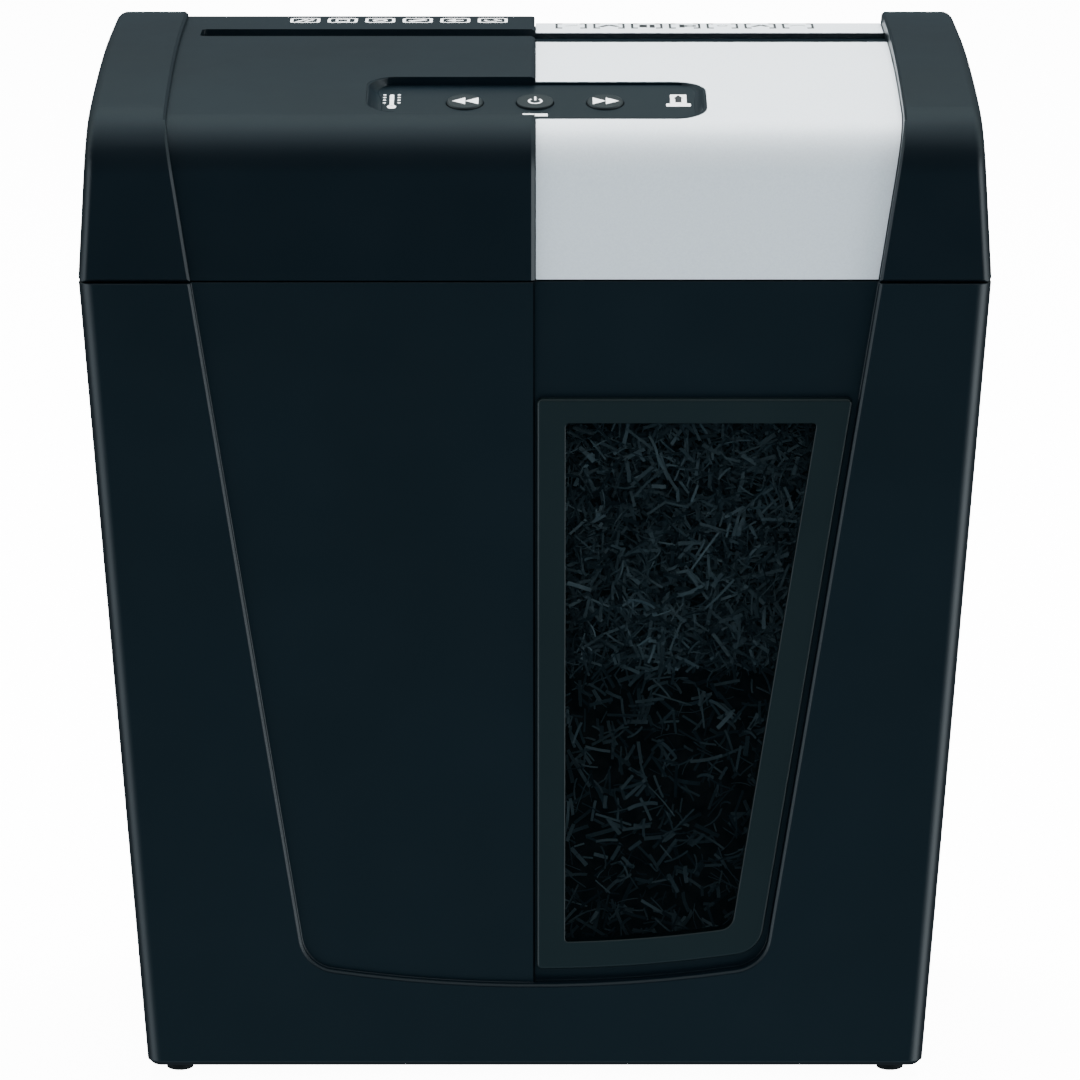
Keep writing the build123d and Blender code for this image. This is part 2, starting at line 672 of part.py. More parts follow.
with BuildPart() as silver_fascia:
    add(fascia_blank.part)
    split(bisect_by=Plane.XZ.offset(-SLOT_FRONT), keep=Keep.TOP)

with BuildPart() as silver_strip:
    add(fascia_blank.part)
    split(bisect_by=Plane.XZ.offset(-(STRIP_FRONT + EDGE_RIM + FASCIA_GAP)), keep=Keep.BOTTOM)

with BuildPart() as cord_gland:
    rear_face = Plane.XZ.offset(-HALF_DEPTH)
    with BuildSketch(rear_face):
        with Locations((GLAND_X, SEAM_HEIGHT + GLAND_RISE)):
            small_round(GLAND_RADIUS)
    extrude(amount=WALL)
    with BuildSketch(rear_face.offset(WALL)):
        with Locations((GLAND_X, SEAM_HEIGHT + GLAND_RISE)):
            small_round(GLAND_RADIUS + GLAND_FLANGE)
    extrude(amount=GLAND_FLANGE)
    with BuildSketch(rear_face):
        with Locations((GLAND_X, SEAM_HEIGHT + GLAND_RISE)):
            small_round(GLAND_BORE, BORE_SIDES)
    extrude(amount=WALL + GLAND_FLANGE, mode=Mode.SUBTRACT)

# Control deck, buttons and their board
BOARD_LEVEL = -DECK_THICKNESS - BOARD_POST
BUTTON_TOP_LEVEL = -DECK_THICKNESS - BUTTON_CLEARANCE
SWITCH_TOP_LEVEL = BUTTON_TOP_LEVEL - BUTTON_FLANGE_HEIGHT - BUTTON_TRAVEL - BUTTON_CLEARANCE
BOARD_LENGTH = DECK_LENGTH - 4 * DECK_LEDGE
BOARD_WIDTH = DECK_WIDTH - 4 * DECK_LEDGE
BUTTON_PLACES = {
    "reverse_button": (-BUTTON_SPACING, BUTTON_OFFSET),
    "power_button": (0, BUTTON_OFFSET),
    "forward_button": (BUTTON_SPACING, BUTTON_OFFSET),
}

with BuildPart() as control_deck:
    extrude(deck_outline(-DECK_THICKNESS, -DECK_CLEARANCE), amount=DECK_THICKNESS)
    with BuildSketch(DECK_PLANE):
        with Locations(*BUTTON_PLACES.values()):
            small_round(BUTTON_RADIUS + BUTTON_CLEARANCE, KEY_SIDES)
        with Locations((0, LENS_OFFSET)):
            Rectangle(LENS_LENGTH, LENS_WIDTH)
    extrude(amount=-DECK_THICKNESS, mode=Mode.SUBTRACT)
    with BuildSketch(DECK_PLANE.offset(-DECK_THICKNESS)):
        with GridLocations(BOARD_LENGTH - POST_SIDE, BOARD_WIDTH - POST_SIDE, 2, 2):
            Rectangle(POST_SIDE, POST_SIDE)
    extrude(amount=-BOARD_POST)

with BuildPart() as status_lens:
    with BuildSketch(DECK_PLANE):
        with Locations((0, LENS_OFFSET)):
            Rectangle(LENS_LENGTH - 2 * PUSH_CLEARANCE, LENS_WIDTH - 2 * PUSH_CLEARANCE)
    extrude(amount=-DECK_THICKNESS)


def push_button(place):
    """Round key that stands a little proud of the deck, held below it by a square flange."""
    with BuildPart() as button:
        with BuildSketch(DECK_PLANE.offset(BUTTON_TOP_LEVEL)):
            with Locations(place):
                small_round(BUTTON_RADIUS, KEY_SIDES)
        extrude(amount=BUTTON_PROUD - BUTTON_TOP_LEVEL)
        with BuildSketch(DECK_PLANE.offset(BUTTON_TOP_LEVEL)):
            with Locations(place):
                Rectangle(BUTTON_FLANGE_SIDE, BUTTON_FLANGE_SIDE)
        extrude(amount=-BUTTON_FLANGE_HEIGHT)
    return button.part


buttons = {name: push_button(place) for name, place in BUTTON_PLACES.items()}

with BuildPart() as control_board:
    with BuildSketch(DECK_PLANE.offset(BOARD_LEVEL)):
        Rectangle(BOARD_LENGTH, BOARD_WIDTH)
    extrude(amount=-BOARD_THICKNESS)
    with BuildSketch(DECK_PLANE.offset(BOARD_LEVEL)):
        with Locations(*BUTTON_PLACES.values()):
            Rectangle(TACT_SIDE, TACT_SIDE)
    extrude(amount=SWITCH_TOP_LEVEL - BOARD_LEVEL)

# Base tray
TRAY_TOP_Z = SEAM_HEIGHT + TRAY_RISE
TRAY_FRONT = TRAY_CLEARANCE + WALL + max(
    head_front(TRAY_TOP_Z, FASCIA_SEAT),
    -bin_half_depth(TRAY_Z) + BAY_DEPTH,
)
OUTLET_FRONT = FRONT_AXIS[0] - DISC_RADIUS - COMB_BACK_GAP
OUTLET_REAR = REAR_AXIS[0] + DISC_RADIUS + COMB_BACK_GAP
SCREW_SEAT_Z = BOSS_Z - SCREW_WEB
POWER_CENTRE = (
    -PLATE_INNER + POWER_SIDE_GAP + POWER_BOARD_LENGTH / 2,
    TRAY_FRONT + TRAY_WALL + POWER_SIDE_GAP + POWER_BOARD_WIDTH / 2,
)
SWITCH_X = -HALF_WIDTH + SWITCH_INSET
PLUNGER_TOP_Z = TRAY_FLOOR_Z + PLUNGER_COLLAR_HEIGHT + PLUNGER_STEM
SWITCH_Z = PLUNGER_TOP_Z + PLUNGER_TRAVEL + SEAT_CLEARANCE


def tray_rectangle(inset):
    """Plan of the tray, inside its outer wall by an inset."""
    depth = TRAY_REAR - TRAY_FRONT
    with BuildSketch(Plane.XY.offset(TRAY_Z)) as plan:
        with Locations((0, (TRAY_REAR + TRAY_FRONT) / 2)):
            Rectangle(2 * (TRAY_HALF - inset), depth - 2 * inset)
        chamfer(plan.vertices(), TRAY_CORNER - inset)
    return plan.sketch


with BuildPart() as base_tray:
    extrude(tray_rectangle(0), amount=TRAY_TOP_Z - TRAY_Z)
    inside = tray_rectangle(TRAY_WALL).moved(Location((0, 0, TRAY_FLOOR)))
    extrude(inside, amount=TRAY_TOP_Z - TRAY_FLOOR_Z, mode=Mode.SUBTRACT)
    with BuildSketch(Plane.XY.offset(TRAY_Z)):
        with Locations((0, (OUTLET_FRONT + OUTLET_REAR) / 2)):
            Rectangle(2 * (PLATE_INNER - OUTLET_MARGIN), OUTLET_REAR - OUTLET_FRONT)
        with Locations((SWITCH_X, SWITCH_Y)):
            Rectangle(PLUNGER_SIDE + 2 * RUNNING_CLEARANCE, PLUNGER_SIDE + 2 * RUNNING_CLEARANCE)
    extrude(amount=TRAY_FLOOR, mode=Mode.SUBTRACT)
    extrude(boss_plan(TRAY_FLOOR_Z, BOSS_RADIUS), amount=BOSS_Z - TRAY_FLOOR_Z)
    well = boss_plan(TRAY_Z, SCREW_HEAD_RADIUS + SCREW_CLEARANCE)
    extrude(well, amount=SCREW_SEAT_Z - TRAY_Z, mode=Mode.SUBTRACT)
    hole = boss_plan(TRAY_Z, SCREW_RADIUS + SCREW_CLEARANCE)
    extrude(hole, amount=BOSS_Z - TRAY_Z, mode=Mode.SUBTRACT)
    with BuildSketch(Plane.XY.offset(TRAY_FLOOR_Z)):
        with Locations(POWER_CENTRE):
            with GridLocations(POWER_BOARD_LENGTH - POST_SIDE, POWER_BOARD_WIDTH - POST_SIDE, 2, 2):
                Rectangle(POST_SIDE, POST_SIDE)
    extrude(amount=POWER_POST)
    with BuildSketch(Plane.XY.offset(TRAY_FLOOR_Z)):
        with Locations((SWITCH_X, SWITCH_Y)):
            with GridLocations(SWITCH_WIDTH, SWITCH_LENGTH - POST_SIDE, 1, 2):
                Rectangle(POST_SIDE, POST_SIDE)
    extrude(amount=SWITCH_Z - TRAY_FLOOR_Z)

with BuildPart() as case_screws:
    extrude(boss_plan(SCREW_SEAT_Z, SCREW_RADIUS), amount=SCREW_LENGTH)
    extrude(boss_plan(SCREW_SEAT_Z, SCREW_HEAD_RADIUS), amount=-SCREW_HEAD_HEIGHT)

with BuildPart() as interlock_plunger:
    with Locations((SWITCH_X, SWITCH_Y, TRAY_Z - PLUNGER_REACH)):
        Box(PLUNGER_SIDE, PLUNGER_SIDE, PLUNGER_TOP_Z - TRAY_Z + PLUNGER_REACH, align=BOTTOM)
    with Locations((SWITCH_X, SWITCH_Y, TRAY_FLOOR_Z)):
        Box(PLUNGER_COLLAR, PLUNGER_COLLAR, PLUNGER_COLLAR_HEIGHT, align=BOTTOM)

with BuildPart() as interlock_switch:
    with Locations((SWITCH_X, SWITCH_Y, SWITCH_Z)):
        Box(SWITCH_WIDTH, SWITCH_LENGTH, SWITCH_HEIGHT, align=BOTTOM)
    chamfer(interlock_switch.edges().filter_by(Axis.Z), LEAST_ROUND)

# Power board: each part on it as place along and across the board, then length, width and height
POWER_PARTS = {
    "transformer": (-8.0, 4.0, 32.0, 27.0, 24.0),
    "relay": (22.0, 8.0, 19.0, 15.5, 15.0),
    "filter": (37.0, 8.0, 8.0, 18.0, 13.0),
    "heat_sink": (8.0, -15.0, 30.0, 8.0, 20.0),
    "mains_block": (-33.0, 2.0, 12.0, 20.0, 11.0),
    "motor_block": (34.0, -13.0, 15.0, 10.0, 11.0),
}
with BuildPart() as power_board:
    board_z = TRAY_FLOOR_Z + POWER_POST
    with Locations((*POWER_CENTRE, board_z)):
        Box(POWER_BOARD_LENGTH, POWER_BOARD_WIDTH, BOARD_THICKNESS, align=BOTTOM)
    for along, across, length, width, height in POWER_PARTS.values():
        with Locations((POWER_CENTRE[0] + along, POWER_CENTRE[1] + across, board_z + BOARD_THICKNESS)):
            Box(length, width, height, align=BOTTOM)

# Paper guides, from the slot down to the nip of the cutters
GUIDE_REACH = SLOT_WIDTH / 2 + GUIDE_FLANGE
GUIDE_TOP_Z = crown_height(SLOT_Y - GUIDE_REACH, FASCIA_SEAT + WALL) - SEAT_CLEARANCE
GUIDE_BACK = THROAT_WIDTH / 2 + GUIDE_THICKNESS
GUIDE_LOW_Z = AXIS_Z + SEAT_CLEARANCE + sqrt(DISC_RADIUS**2 - (CUTTER_SPACING / 2 - GUIDE_BACK) ** 2)


def paper_guide(side):
    """Sloping wall of the throat with a flange under the cover, on the front or the rear of the slot."""
    lip = SLOT_WIDTH / 2
    outline = (
        (lip, GUIDE_TOP_Z),
        (THROAT_WIDTH / 2, GUIDE_LOW_Z),
        (GUIDE_BACK, GUIDE_LOW_Z),
        (lip + GUIDE_THICKNESS, GUIDE_TOP_Z - GUIDE_THICKNESS),
        (GUIDE_REACH, GUIDE_TOP_Z - GUIDE_THICKNESS),
        (GUIDE_REACH, GUIDE_TOP_Z),
    )
    with BuildPart() as guide:
        with BuildSketch(Plane.YZ):
            Polygon(*((SLOT_Y + side * y, z) for y, z in outline), align=None)
        extrude(amount=SLOT_HALF + GUIDE_THICKNESS, both=True)
    return guide.part


paper_guides = {"paper_guide_front": paper_guide(-1), "paper_guide_rear": paper_guide(1)}

with BuildPart() as paper_sensor:
    sensor_y = SLOT_FRONT - GUIDE_THICKNESS - SENSOR_WIDTH / 2
    with Locations((0, sensor_y, GUIDE_TOP_Z - GUIDE_THICKNESS - SENSOR_HEIGHT)):
        Box(SENSOR_LENGTH, SENSOR_WIDTH, SENSOR_HEIGHT, align=BOTTOM)

# Axles of the gear train, each as depth and height
MOTOR_AXIS = (FRONT_AXIS[0] - MOTOR_REACH, AXIS_Z - MOTOR_DROP)
FIRST_CENTRES = FIRST_MODULE * (PINION_TEETH + FIRST_WHEEL_TEETH) / 2
SECOND_CENTRES = SECOND_MODULE * (FIRST_PINION_TEETH + SECOND_WHEEL_TEETH) / 2
FINAL_CENTRES = FINAL_MODULE * (SECOND_PINION_TEETH + FINAL_TEETH) / 2
FIRST_AXIS = (
    MOTOR_AXIS[0] + FIRST_CENTRES * cos(radians(FIRST_LIFT)),
    MOTOR_AXIS[1] + FIRST_CENTRES * sin(radians(FIRST_LIFT)),
)


def upper_meeting(left, left_radius, right, right_radius):
    """Upper crossing of two circles about two axles."""
    span = hypot(right[0] - left[0], right[1] - left[1])
    along = (left_radius**2 - right_radius**2 + span**2) / (2 * span)
    lift = sqrt(left_radius**2 - along**2)
    u = ((right[0] - left[0]) / span, (right[1] - left[1]) / span)
    return (left[0] + along * u[0] - lift * u[1], left[1] + along * u[1] + lift * u[0])


SECOND_AXIS = upper_meeting(FIRST_AXIS, SECOND_CENTRES, FRONT_AXIS, FINAL_CENTRES)
LAYERS = [PLATE_OUTER + GEAR_GAP + k * (GEAR_FACE + GEAR_GAP) for k in range(3)]
BRACKET_X = LAYERS[-1] + GEAR_FACE + GEAR_GAP
TIE_PLACES = [(SLOT_Y + along, AXIS_Z + up) for along, up in TIE_OFFSETS]
STANDOFF_PLACES = [
    (FIRST_AXIS[0] - STANDOFF_FRONT[0], FIRST_AXIS[1] - STANDOFF_FRONT[1]),
    (FIRST_AXIS[0] - STANDOFF_TOP[0], FIRST_AXIS[1] + STANDOFF_TOP[1]),
    (FRONT_AXIS[0] + STANDOFF_REAR[0], FRONT_AXIS[1] - STANDOFF_REAR[1]),
]
FOOT_Z = TRAY_FLOOR_Z + MOUNT_PAD_HEIGHT
PLATE_REAR = OUTLET_REAR + OUTLET_MARGIN
LEFT_FRONT = TIE_PLACES[0][0] - PLATE_EYE
RIGHT_FRONT = MOTOR_AXIS[0] - MOTOR_RADIUS


def plate_outline(x, front, eyes):
    """Side plate drawn round the points that it carries, with a straight foot."""
    with BuildSketch(Plane.YZ.offset(x)) as outline:
        with Locations(((front + PLATE_REAR) / 2, FOOT_Z + PLATE_EYE / 2)):
            Rectangle(PLATE_REAR - front, PLATE_EYE)
        with Locations(*eyes):
            small_round(PLATE_EYE)
        make_hull(outline.edges())
    return outline.sketch


def shaft_holes(plane):
    """Holes in a side plate for the cutter bushings and the tie-rod screws."""
    with BuildSketch(plane) as holes:
        with Locations(FRONT_AXIS, REAR_AXIS):
            small_round(BUSH_RADIUS + PUSH_CLEARANCE)
        with Locations(*TIE_PLACES):
            small_round(SCREW_RADIUS + SCREW_CLEARANCE)
    return holes.sketch


with BuildPart() as left_side_plate:
    eyes = [FRONT_AXIS, REAR_AXIS, *TIE_PLACES]
    extrude(plate_outline(-PLATE_OUTER, LEFT_FRONT, eyes), amount=PLATE_THICKNESS)
    extrude(shaft_holes(Plane.YZ.offset(-PLATE_OUTER)), amount=PLATE_THICKNESS, mode=Mode.SUBTRACT)

with BuildPart() as right_side_plate:
    eyes = [FRONT_AXIS, REAR_AXIS, FIRST_AXIS, SECOND_AXIS, *TIE_PLACES, *STANDOFF_PLACES]
    extrude(plate_outline(PLATE_INNER, RIGHT_FRONT, eyes), amount=PLATE_THICKNESS)
    extrude(shaft_holes(Plane.YZ.offset(PLATE_INNER)), amount=PLATE_THICKNESS, mode=Mode.SUBTRACT)
    with BuildSketch(Plane.YZ.offset(PLATE_INNER)):
        with Locations(MOTOR_AXIS):
            small_round(MOTOR_BOSS_RADIUS + SCREW_CLEARANCE)
        with Locations(FIRST_AXIS, SECOND_AXIS):
            small_round(AXLE_RADIUS + PUSH_CLEARANCE)
    extrude(amount=PLATE_THICKNESS, mode=Mode.SUBTRACT)

with BuildPart() as rubber_mounts:
    pad_x = PLATE_OUTER - PLATE_THICKNESS / 2
    half_pad = MOUNT_PAD_LENGTH / 2
    for x, front in ((-pad_x, LEFT_FRONT), (pad_x, RIGHT_FRONT)):
        with Locations((x, front + half_pad, TRAY_FLOOR_Z), (x, PLATE_REAR - half_pad, TRAY_FLOOR_Z)):
            Box(MOUNT_PAD_WIDTH, MOUNT_PAD_LENGTH, MOUNT_PAD_HEIGHT, align=BOTTOM)

with BuildPart() as tie_rods:
    with BuildSketch(Plane.YZ):
        with Locations(*TIE_PLACES):
            RegularPolygon(TIE_RADIUS, 6)
    extrude(amount=PLATE_INNER, both=True)

with BuildPart() as frame_screws:
    for x, outward in ((-PLATE_OUTER, -1), (PLATE_OUTER, 1)):
        with BuildSketch(Plane.YZ.offset(x)):
            with Locations(*TIE_PLACES):
                RegularPolygon(SCREW_HEAD_RADIUS, 6)
        extrude(amount=outward * SCREW_HEAD_HEIGHT)
        with BuildSketch(Plane.YZ.offset(x)):
            with Locations(*TIE_PLACES):
                RegularPolygon(SCREW_RADIUS, 6)
        extrude(amount=-outward * PLATE_THICKNESS)

with BuildPart() as cutter_bushings:
    for inner, outward in ((-PLATE_INNER, -1), (PLATE_INNER, 1)):
        with BuildSketch(Plane.YZ.offset(inner)):
            with Locations(FRONT_AXIS, REAR_AXIS):
                small_round(BUSH_RADIUS)
                small_round(JOURNAL_RADIUS + RUNNING_CLEARANCE, BORE_SIDES, Mode.SUBTRACT)
        extrude(amount=outward * PLATE_THICKNESS)
        with BuildSketch(Plane.YZ.offset(inner)):
            with Locations(FRONT_AXIS, REAR_AXIS):
                small_round(BUSH_FLANGE_RADIUS)
                small_round(JOURNAL_RADIUS + RUNNING_CLEARANCE, BORE_SIDES, Mode.SUBTRACT)
        extrude(amount=-outward * BUSH_FLANGE)

# Cutters: hexagon shafts, each with a stack of hooked discs that run in the gaps of the other
STACK_HALF = PLATE_INNER - BUSH_FLANGE - END_FLOAT
DISC_COUNT = int((2 * STACK_HALF - DISC_WIDTH - DISC_PITCH / 2) / DISC_PITCH) + 1
DISC_START = -((DISC_COUNT - 1) * DISC_PITCH + DISC_PITCH / 2 + DISC_WIDTH) / 2
TIMING_X = -PLATE_OUTER - GEAR_GAP - TIMING_FACE
SHAFT_END = TIMING_X - SHAFT_STUB


def disc_outline(plane, turn, hand):
    """Cutting disc seen along its shaft: hooks that rise steeply and fall away."""
    step = 2 * pi / DISC_HOOKS
    hooks = [(DISC_RADIUS, k * step) for k in range(DISC_HOOKS)]
    roots = [(DISC_ROOT, (k + HOOK_FALL) * step) for k in range(DISC_HOOKS)]
    points = [point for pair in zip(hooks, roots) for point in pair]
    with BuildSketch(plane) as outline:
        Polygon(*((r * cos(turn + hand * a), r * sin(turn + hand * a)) for r, a in points), align=None)
    return outline.sketch


def cutter_stack(axis, shift, hand):
    """Discs and spacers of one shaft in one piece, with its hexagon bore."""
    with BuildPart() as stack:
        with BuildSketch(at_axis(axis, -STACK_HALF)):
            RegularPolygon(SPACER_RADIUS, 6)
        extrude(amount=2 * STACK_HALF)
        planes = [at_axis(axis, DISC_START + shift + k * DISC_PITCH) for k in range(DISC_COUNT)]
        turns = [radians(hand * k * DISC_TWIST) for k in range(DISC_COUNT)]
        outlines = [disc_outline(plane, turn, hand) for plane, turn in zip(planes, turns)]
        add([extrude(outline, amount=DISC_WIDTH, mode=Mode.PRIVATE) for outline in outlines])
        with BuildSketch(at_axis(axis, -STACK_HALF)):
            RegularPolygon(HEX_RADIUS + RUNNING_CLEARANCE, 6)
        extrude(amount=2 * STACK_HALF, mode=Mode.SUBTRACT)
    return stack.part


def cutter_shaft(axis, right_end):
    """Hexagon shaft with a round journal in each side plate and slimmer hexagon ends."""
    with BuildPart() as shaft:
        with BuildSketch(at_axis(axis, SHAFT_END)):
            RegularPolygon(DRIVE_RADIUS, 6)
        extrude(amount=right_end - SHAFT_END)
        with BuildSketch(at_axis(axis, -PLATE_OUTER - SHAFT_STUB)):
            Circle(JOURNAL_RADIUS)
        extrude(amount=2 * (PLATE_OUTER + SHAFT_STUB))
        with BuildSketch(at_axis(axis, -STACK_HALF)):
            RegularPolygon(HEX_RADIUS, 6)
        extrude(amount=2 * STACK_HALF)
    return shaft.part


def stripper_comb(axis, shift, side):
    """Bar outside one cutter whose fingers reach between its discs and wrap round the spacers."""
    back = DISC_RADIUS + COMB_BACK_GAP
    wrap = SPACER_RADIUS + COMB_TIP_GAP
    tip = (wrap * cos(radians(COMB_WRAP)), wrap * sin(radians(COMB_WRAP)))
    half = COMB_HEIGHT / 2
    finger = ((back, -half), (tip[0], -tip[1]), (wrap, 0), tip, (back, half))
    gap = DISC_PITCH - DISC_WIDTH
    with BuildPart() as comb:
        with BuildSketch(at_axis(axis, -PLATE_INNER)):
            with Locations((side * (back + COMB_BAR / 2), 0)):
                Rectangle(COMB_BAR, COMB_HEIGHT)
        extrude(amount=2 * PLATE_INNER)
        starts = [DISC_START + shift + DISC_WIDTH + k * DISC_PITCH for k in range(DISC_COUNT - 1)]
        fingers = []
        for start in starts:
            with BuildSketch(at_axis(axis, start + COMB_FINGER_CLEARANCE)) as outline:
                Polygon(*((side * y, z) for y, z in finger), align=None)
            fingers.append(outline.sketch)
        thickness = gap - 2 * COMB_FINGER_CLEARANCE
        add([extrude(face, amount=thickness, dir=(1, 0, 0), mode=Mode.PRIVATE) for face in fingers])
    return comb.part


def spur_gear(axis, x, face, teeth, module, phase, bore):
    """Plain gear with a hexagon bore."""
    with BuildPart() as gear:
        plane = at_axis(axis, x)
        extrude(gear_outline(plane, teeth, module, phase), amount=face)
        with BuildSketch(plane):
            RegularPolygon(bore, 6)
        extrude(amount=face, mode=Mode.SUBTRACT)
    return gear.part


def compound_gear(axis, layer, wheel, pinion):
    """Wheel with a pinion outside it and a hub inside it; each is given as teeth, module and phase."""
    with BuildPart() as gear:
        plane = at_axis(axis, LAYERS[layer])
        extrude(gear_outline(plane, *wheel), amount=GEAR_FACE)
        extrude(gear_outline(plane.offset(GEAR_FACE), *pinion), amount=GEAR_FACE + GEAR_GAP)
        back = at_axis(axis, PLATE_OUTER + END_FLOAT)
        with BuildSketch(back):
            small_round(HUB_RADIUS)
        extrude(amount=LAYERS[layer] - PLATE_OUTER - END_FLOAT)
        with BuildSketch(back):
            small_round(AXLE_RADIUS + RUNNING_CLEARANCE, BORE_SIDES)
        extrude(amount=3 * (GEAR_FACE + GEAR_GAP), mode=Mode.SUBTRACT)
    return gear.part


final_phase = 0.0
second_pinion_phase = gear_mate(
    FINAL_TEETH, final_phase, SECOND_PINION_TEETH, bearing(FRONT_AXIS, SECOND_AXIS)
)
second_wheel_phase = 0.0
first_pinion_phase = gear_mate(
    SECOND_WHEEL_TEETH, second_wheel_phase, FIRST_PINION_TEETH, bearing(SECOND_AXIS, FIRST_AXIS)
)
first_wheel_phase = 0.0
motor_pinion_phase = gear_mate(
    FIRST_WHEEL_TEETH, first_wheel_phase, PINION_TEETH, bearing(FIRST_AXIS, MOTOR_AXIS)
)
timing_module = CUTTER_SPACING / TIMING_TEETH
rear_timing_phase = gear_mate(TIMING_TEETH, 0.0, TIMING_TEETH, bearing(FRONT_AXIS, REAR_AXIS))
drive_bore = DRIVE_RADIUS + PUSH_CLEARANCE

drive = {
    "front_cutter_shaft": cutter_shaft(FRONT_AXIS, LAYERS[2] + GEAR_FACE + SHAFT_STUB),
    "rear_cutter_shaft": cutter_shaft(REAR_AXIS, PLATE_OUTER + SHAFT_STUB),
    "front_cutter_stack": cutter_stack(FRONT_AXIS, 0, -1),
    "rear_cutter_stack": cutter_stack(REAR_AXIS, DISC_PITCH / 2, 1),
    "front_stripper_comb": stripper_comb(FRONT_AXIS, 0, -1),
    "rear_stripper_comb": stripper_comb(REAR_AXIS, DISC_PITCH / 2, 1),
    "front_timing_gear": spur_gear(
        FRONT_AXIS, TIMING_X, TIMING_FACE, TIMING_TEETH, timing_module, 0.0, drive_bore
    ),
    "rear_timing_gear": spur_gear(
        REAR_AXIS, TIMING_X, TIMING_FACE, TIMING_TEETH, timing_module, rear_timing_phase, drive_bore
    ),
    "final_drive_gear": spur_gear(
        FRONT_AXIS, LAYERS[2], GEAR_FACE, FINAL_TEETH, FINAL_MODULE, final_phase, drive_bore
    ),
    "second_reduction_gear": compound_gear(
        SECOND_AXIS,
        1,
        (SECOND_WHEEL_TEETH, SECOND_MODULE, second_wheel_phase),
        (SECOND_PINION_TEETH, FINAL_MODULE, second_pinion_phase),
    ),
    "first_reduction_gear": compound_gear(
        FIRST_AXIS,
        0,
        (FIRST_WHEEL_TEETH, FIRST_MODULE, first_wheel_phase),
        (FIRST_PINION_TEETH, SECOND_MODULE, first_pinion_phase),
    ),
    "motor_pinion": spur_gear(
        MOTOR_AXIS,
        LAYERS[0],
        GEAR_FACE,
        PINION_TEETH,
        FIRST_MODULE,
        motor_pinion_phase,
        MOTOR_SHAFT_RADIUS + PUSH_CLEARANCE,
    ),
}

with BuildPart() as gear_axles:
    with BuildSketch(Plane.YZ.offset(PLATE_INNER)):
        with Locations(FIRST_AXIS, SECOND_AXIS):
            RegularPolygon(AXLE_RADIUS, KEY_SIDES)
    extrude(amount=BRACKET_X + BRACKET_THICKNESS - PLATE_INNER)

with BuildPart() as gear_bracket:
    with BuildSketch(Plane.YZ.offset(BRACKET_X)) as outline:
        with Locations(FIRST_AXIS, SECOND_AXIS, *STANDOFF_PLACES):
            small_round(BRACKET_EYE)
        make_hull(outline.edges())
        with Locations(FIRST_AXIS, SECOND_AXIS):
            small_round(AXLE_RADIUS + PUSH_CLEARANCE, mode=Mode.SUBTRACT)
    extrude(amount=BRACKET_THICKNESS)

with BuildPart() as bracket_standoffs:
    with BuildSketch(Plane.YZ.offset(PLATE_OUTER)):
        with Locations(*STANDOFF_PLACES):
            RegularPolygon(STANDOFF_RADIUS, 6)
    extrude(amount=BRACKET_X - PLATE_OUTER)

# Motor
MOTOR_BACK_X = PLATE_INNER - MOTOR_LENGTH
BELL_BACK_X = MOTOR_BACK_X - MOTOR_BELL_LENGTH
FAN_X = BELL_BACK_X - FAN_GAP - FAN_WIDTH

with BuildPart() as motor_body:
    with BuildSketch(at_axis(MOTOR_AXIS, MOTOR_BACK_X)):
        Circle(MOTOR_RADIUS)
        Rectangle(2 * MOTOR_RADIUS, 2 * MOTOR_FLAT, mode=Mode.INTERSECT)
    extrude(amount=MOTOR_LENGTH)
    with BuildSketch(at_axis(MOTOR_AXIS, MOTOR_BACK_X)):
        small_round(MOTOR_BELL_RADIUS, BORE_SIDES)
    extrude(amount=-MOTOR_BELL_LENGTH)
    with BuildSketch(at_axis(MOTOR_AXIS, PLATE_INNER)):
        small_round(MOTOR_BOSS_RADIUS)
    extrude(amount=PLATE_THICKNESS)
    with BuildSketch(at_axis(MOTOR_AXIS, BELL_BACK_X)):
        small_round(MOTOR_SHAFT_RADIUS + RUNNING_CLEARANCE)
    extrude(amount=PLATE_OUTER - BELL_BACK_X, mode=Mode.SUBTRACT)

with BuildPart() as motor_shaft:
    with BuildSketch(at_axis(MOTOR_AXIS, FAN_X)):
        Circle(MOTOR_SHAFT_RADIUS)
    extrude(amount=LAYERS[0] - FAN_X)
    with BuildSketch(at_axis(MOTOR_AXIS, LAYERS[0])):
        RegularPolygon(MOTOR_SHAFT_RADIUS, 6)
    extrude(amount=GEAR_FACE)

with BuildPart() as cooling_fan:
    plane = at_axis(MOTOR_AXIS, FAN_X)
    with BuildSketch(plane):
        small_round(FAN_HUB)
        with PolarLocations((FAN_RADIUS + FAN_HUB) / 2 - BLADE_THICKNESS, FAN_BLADES):
            Rectangle(FAN_RADIUS - FAN_HUB, BLADE_THICKNESS)
    extrude(amount=FAN_WIDTH)
    with BuildSketch(plane):
        small_round(MOTOR_SHAFT_RADIUS + PUSH_CLEARANCE)
    extrude(amount=FAN_WIDTH, mode=Mode.SUBTRACT)

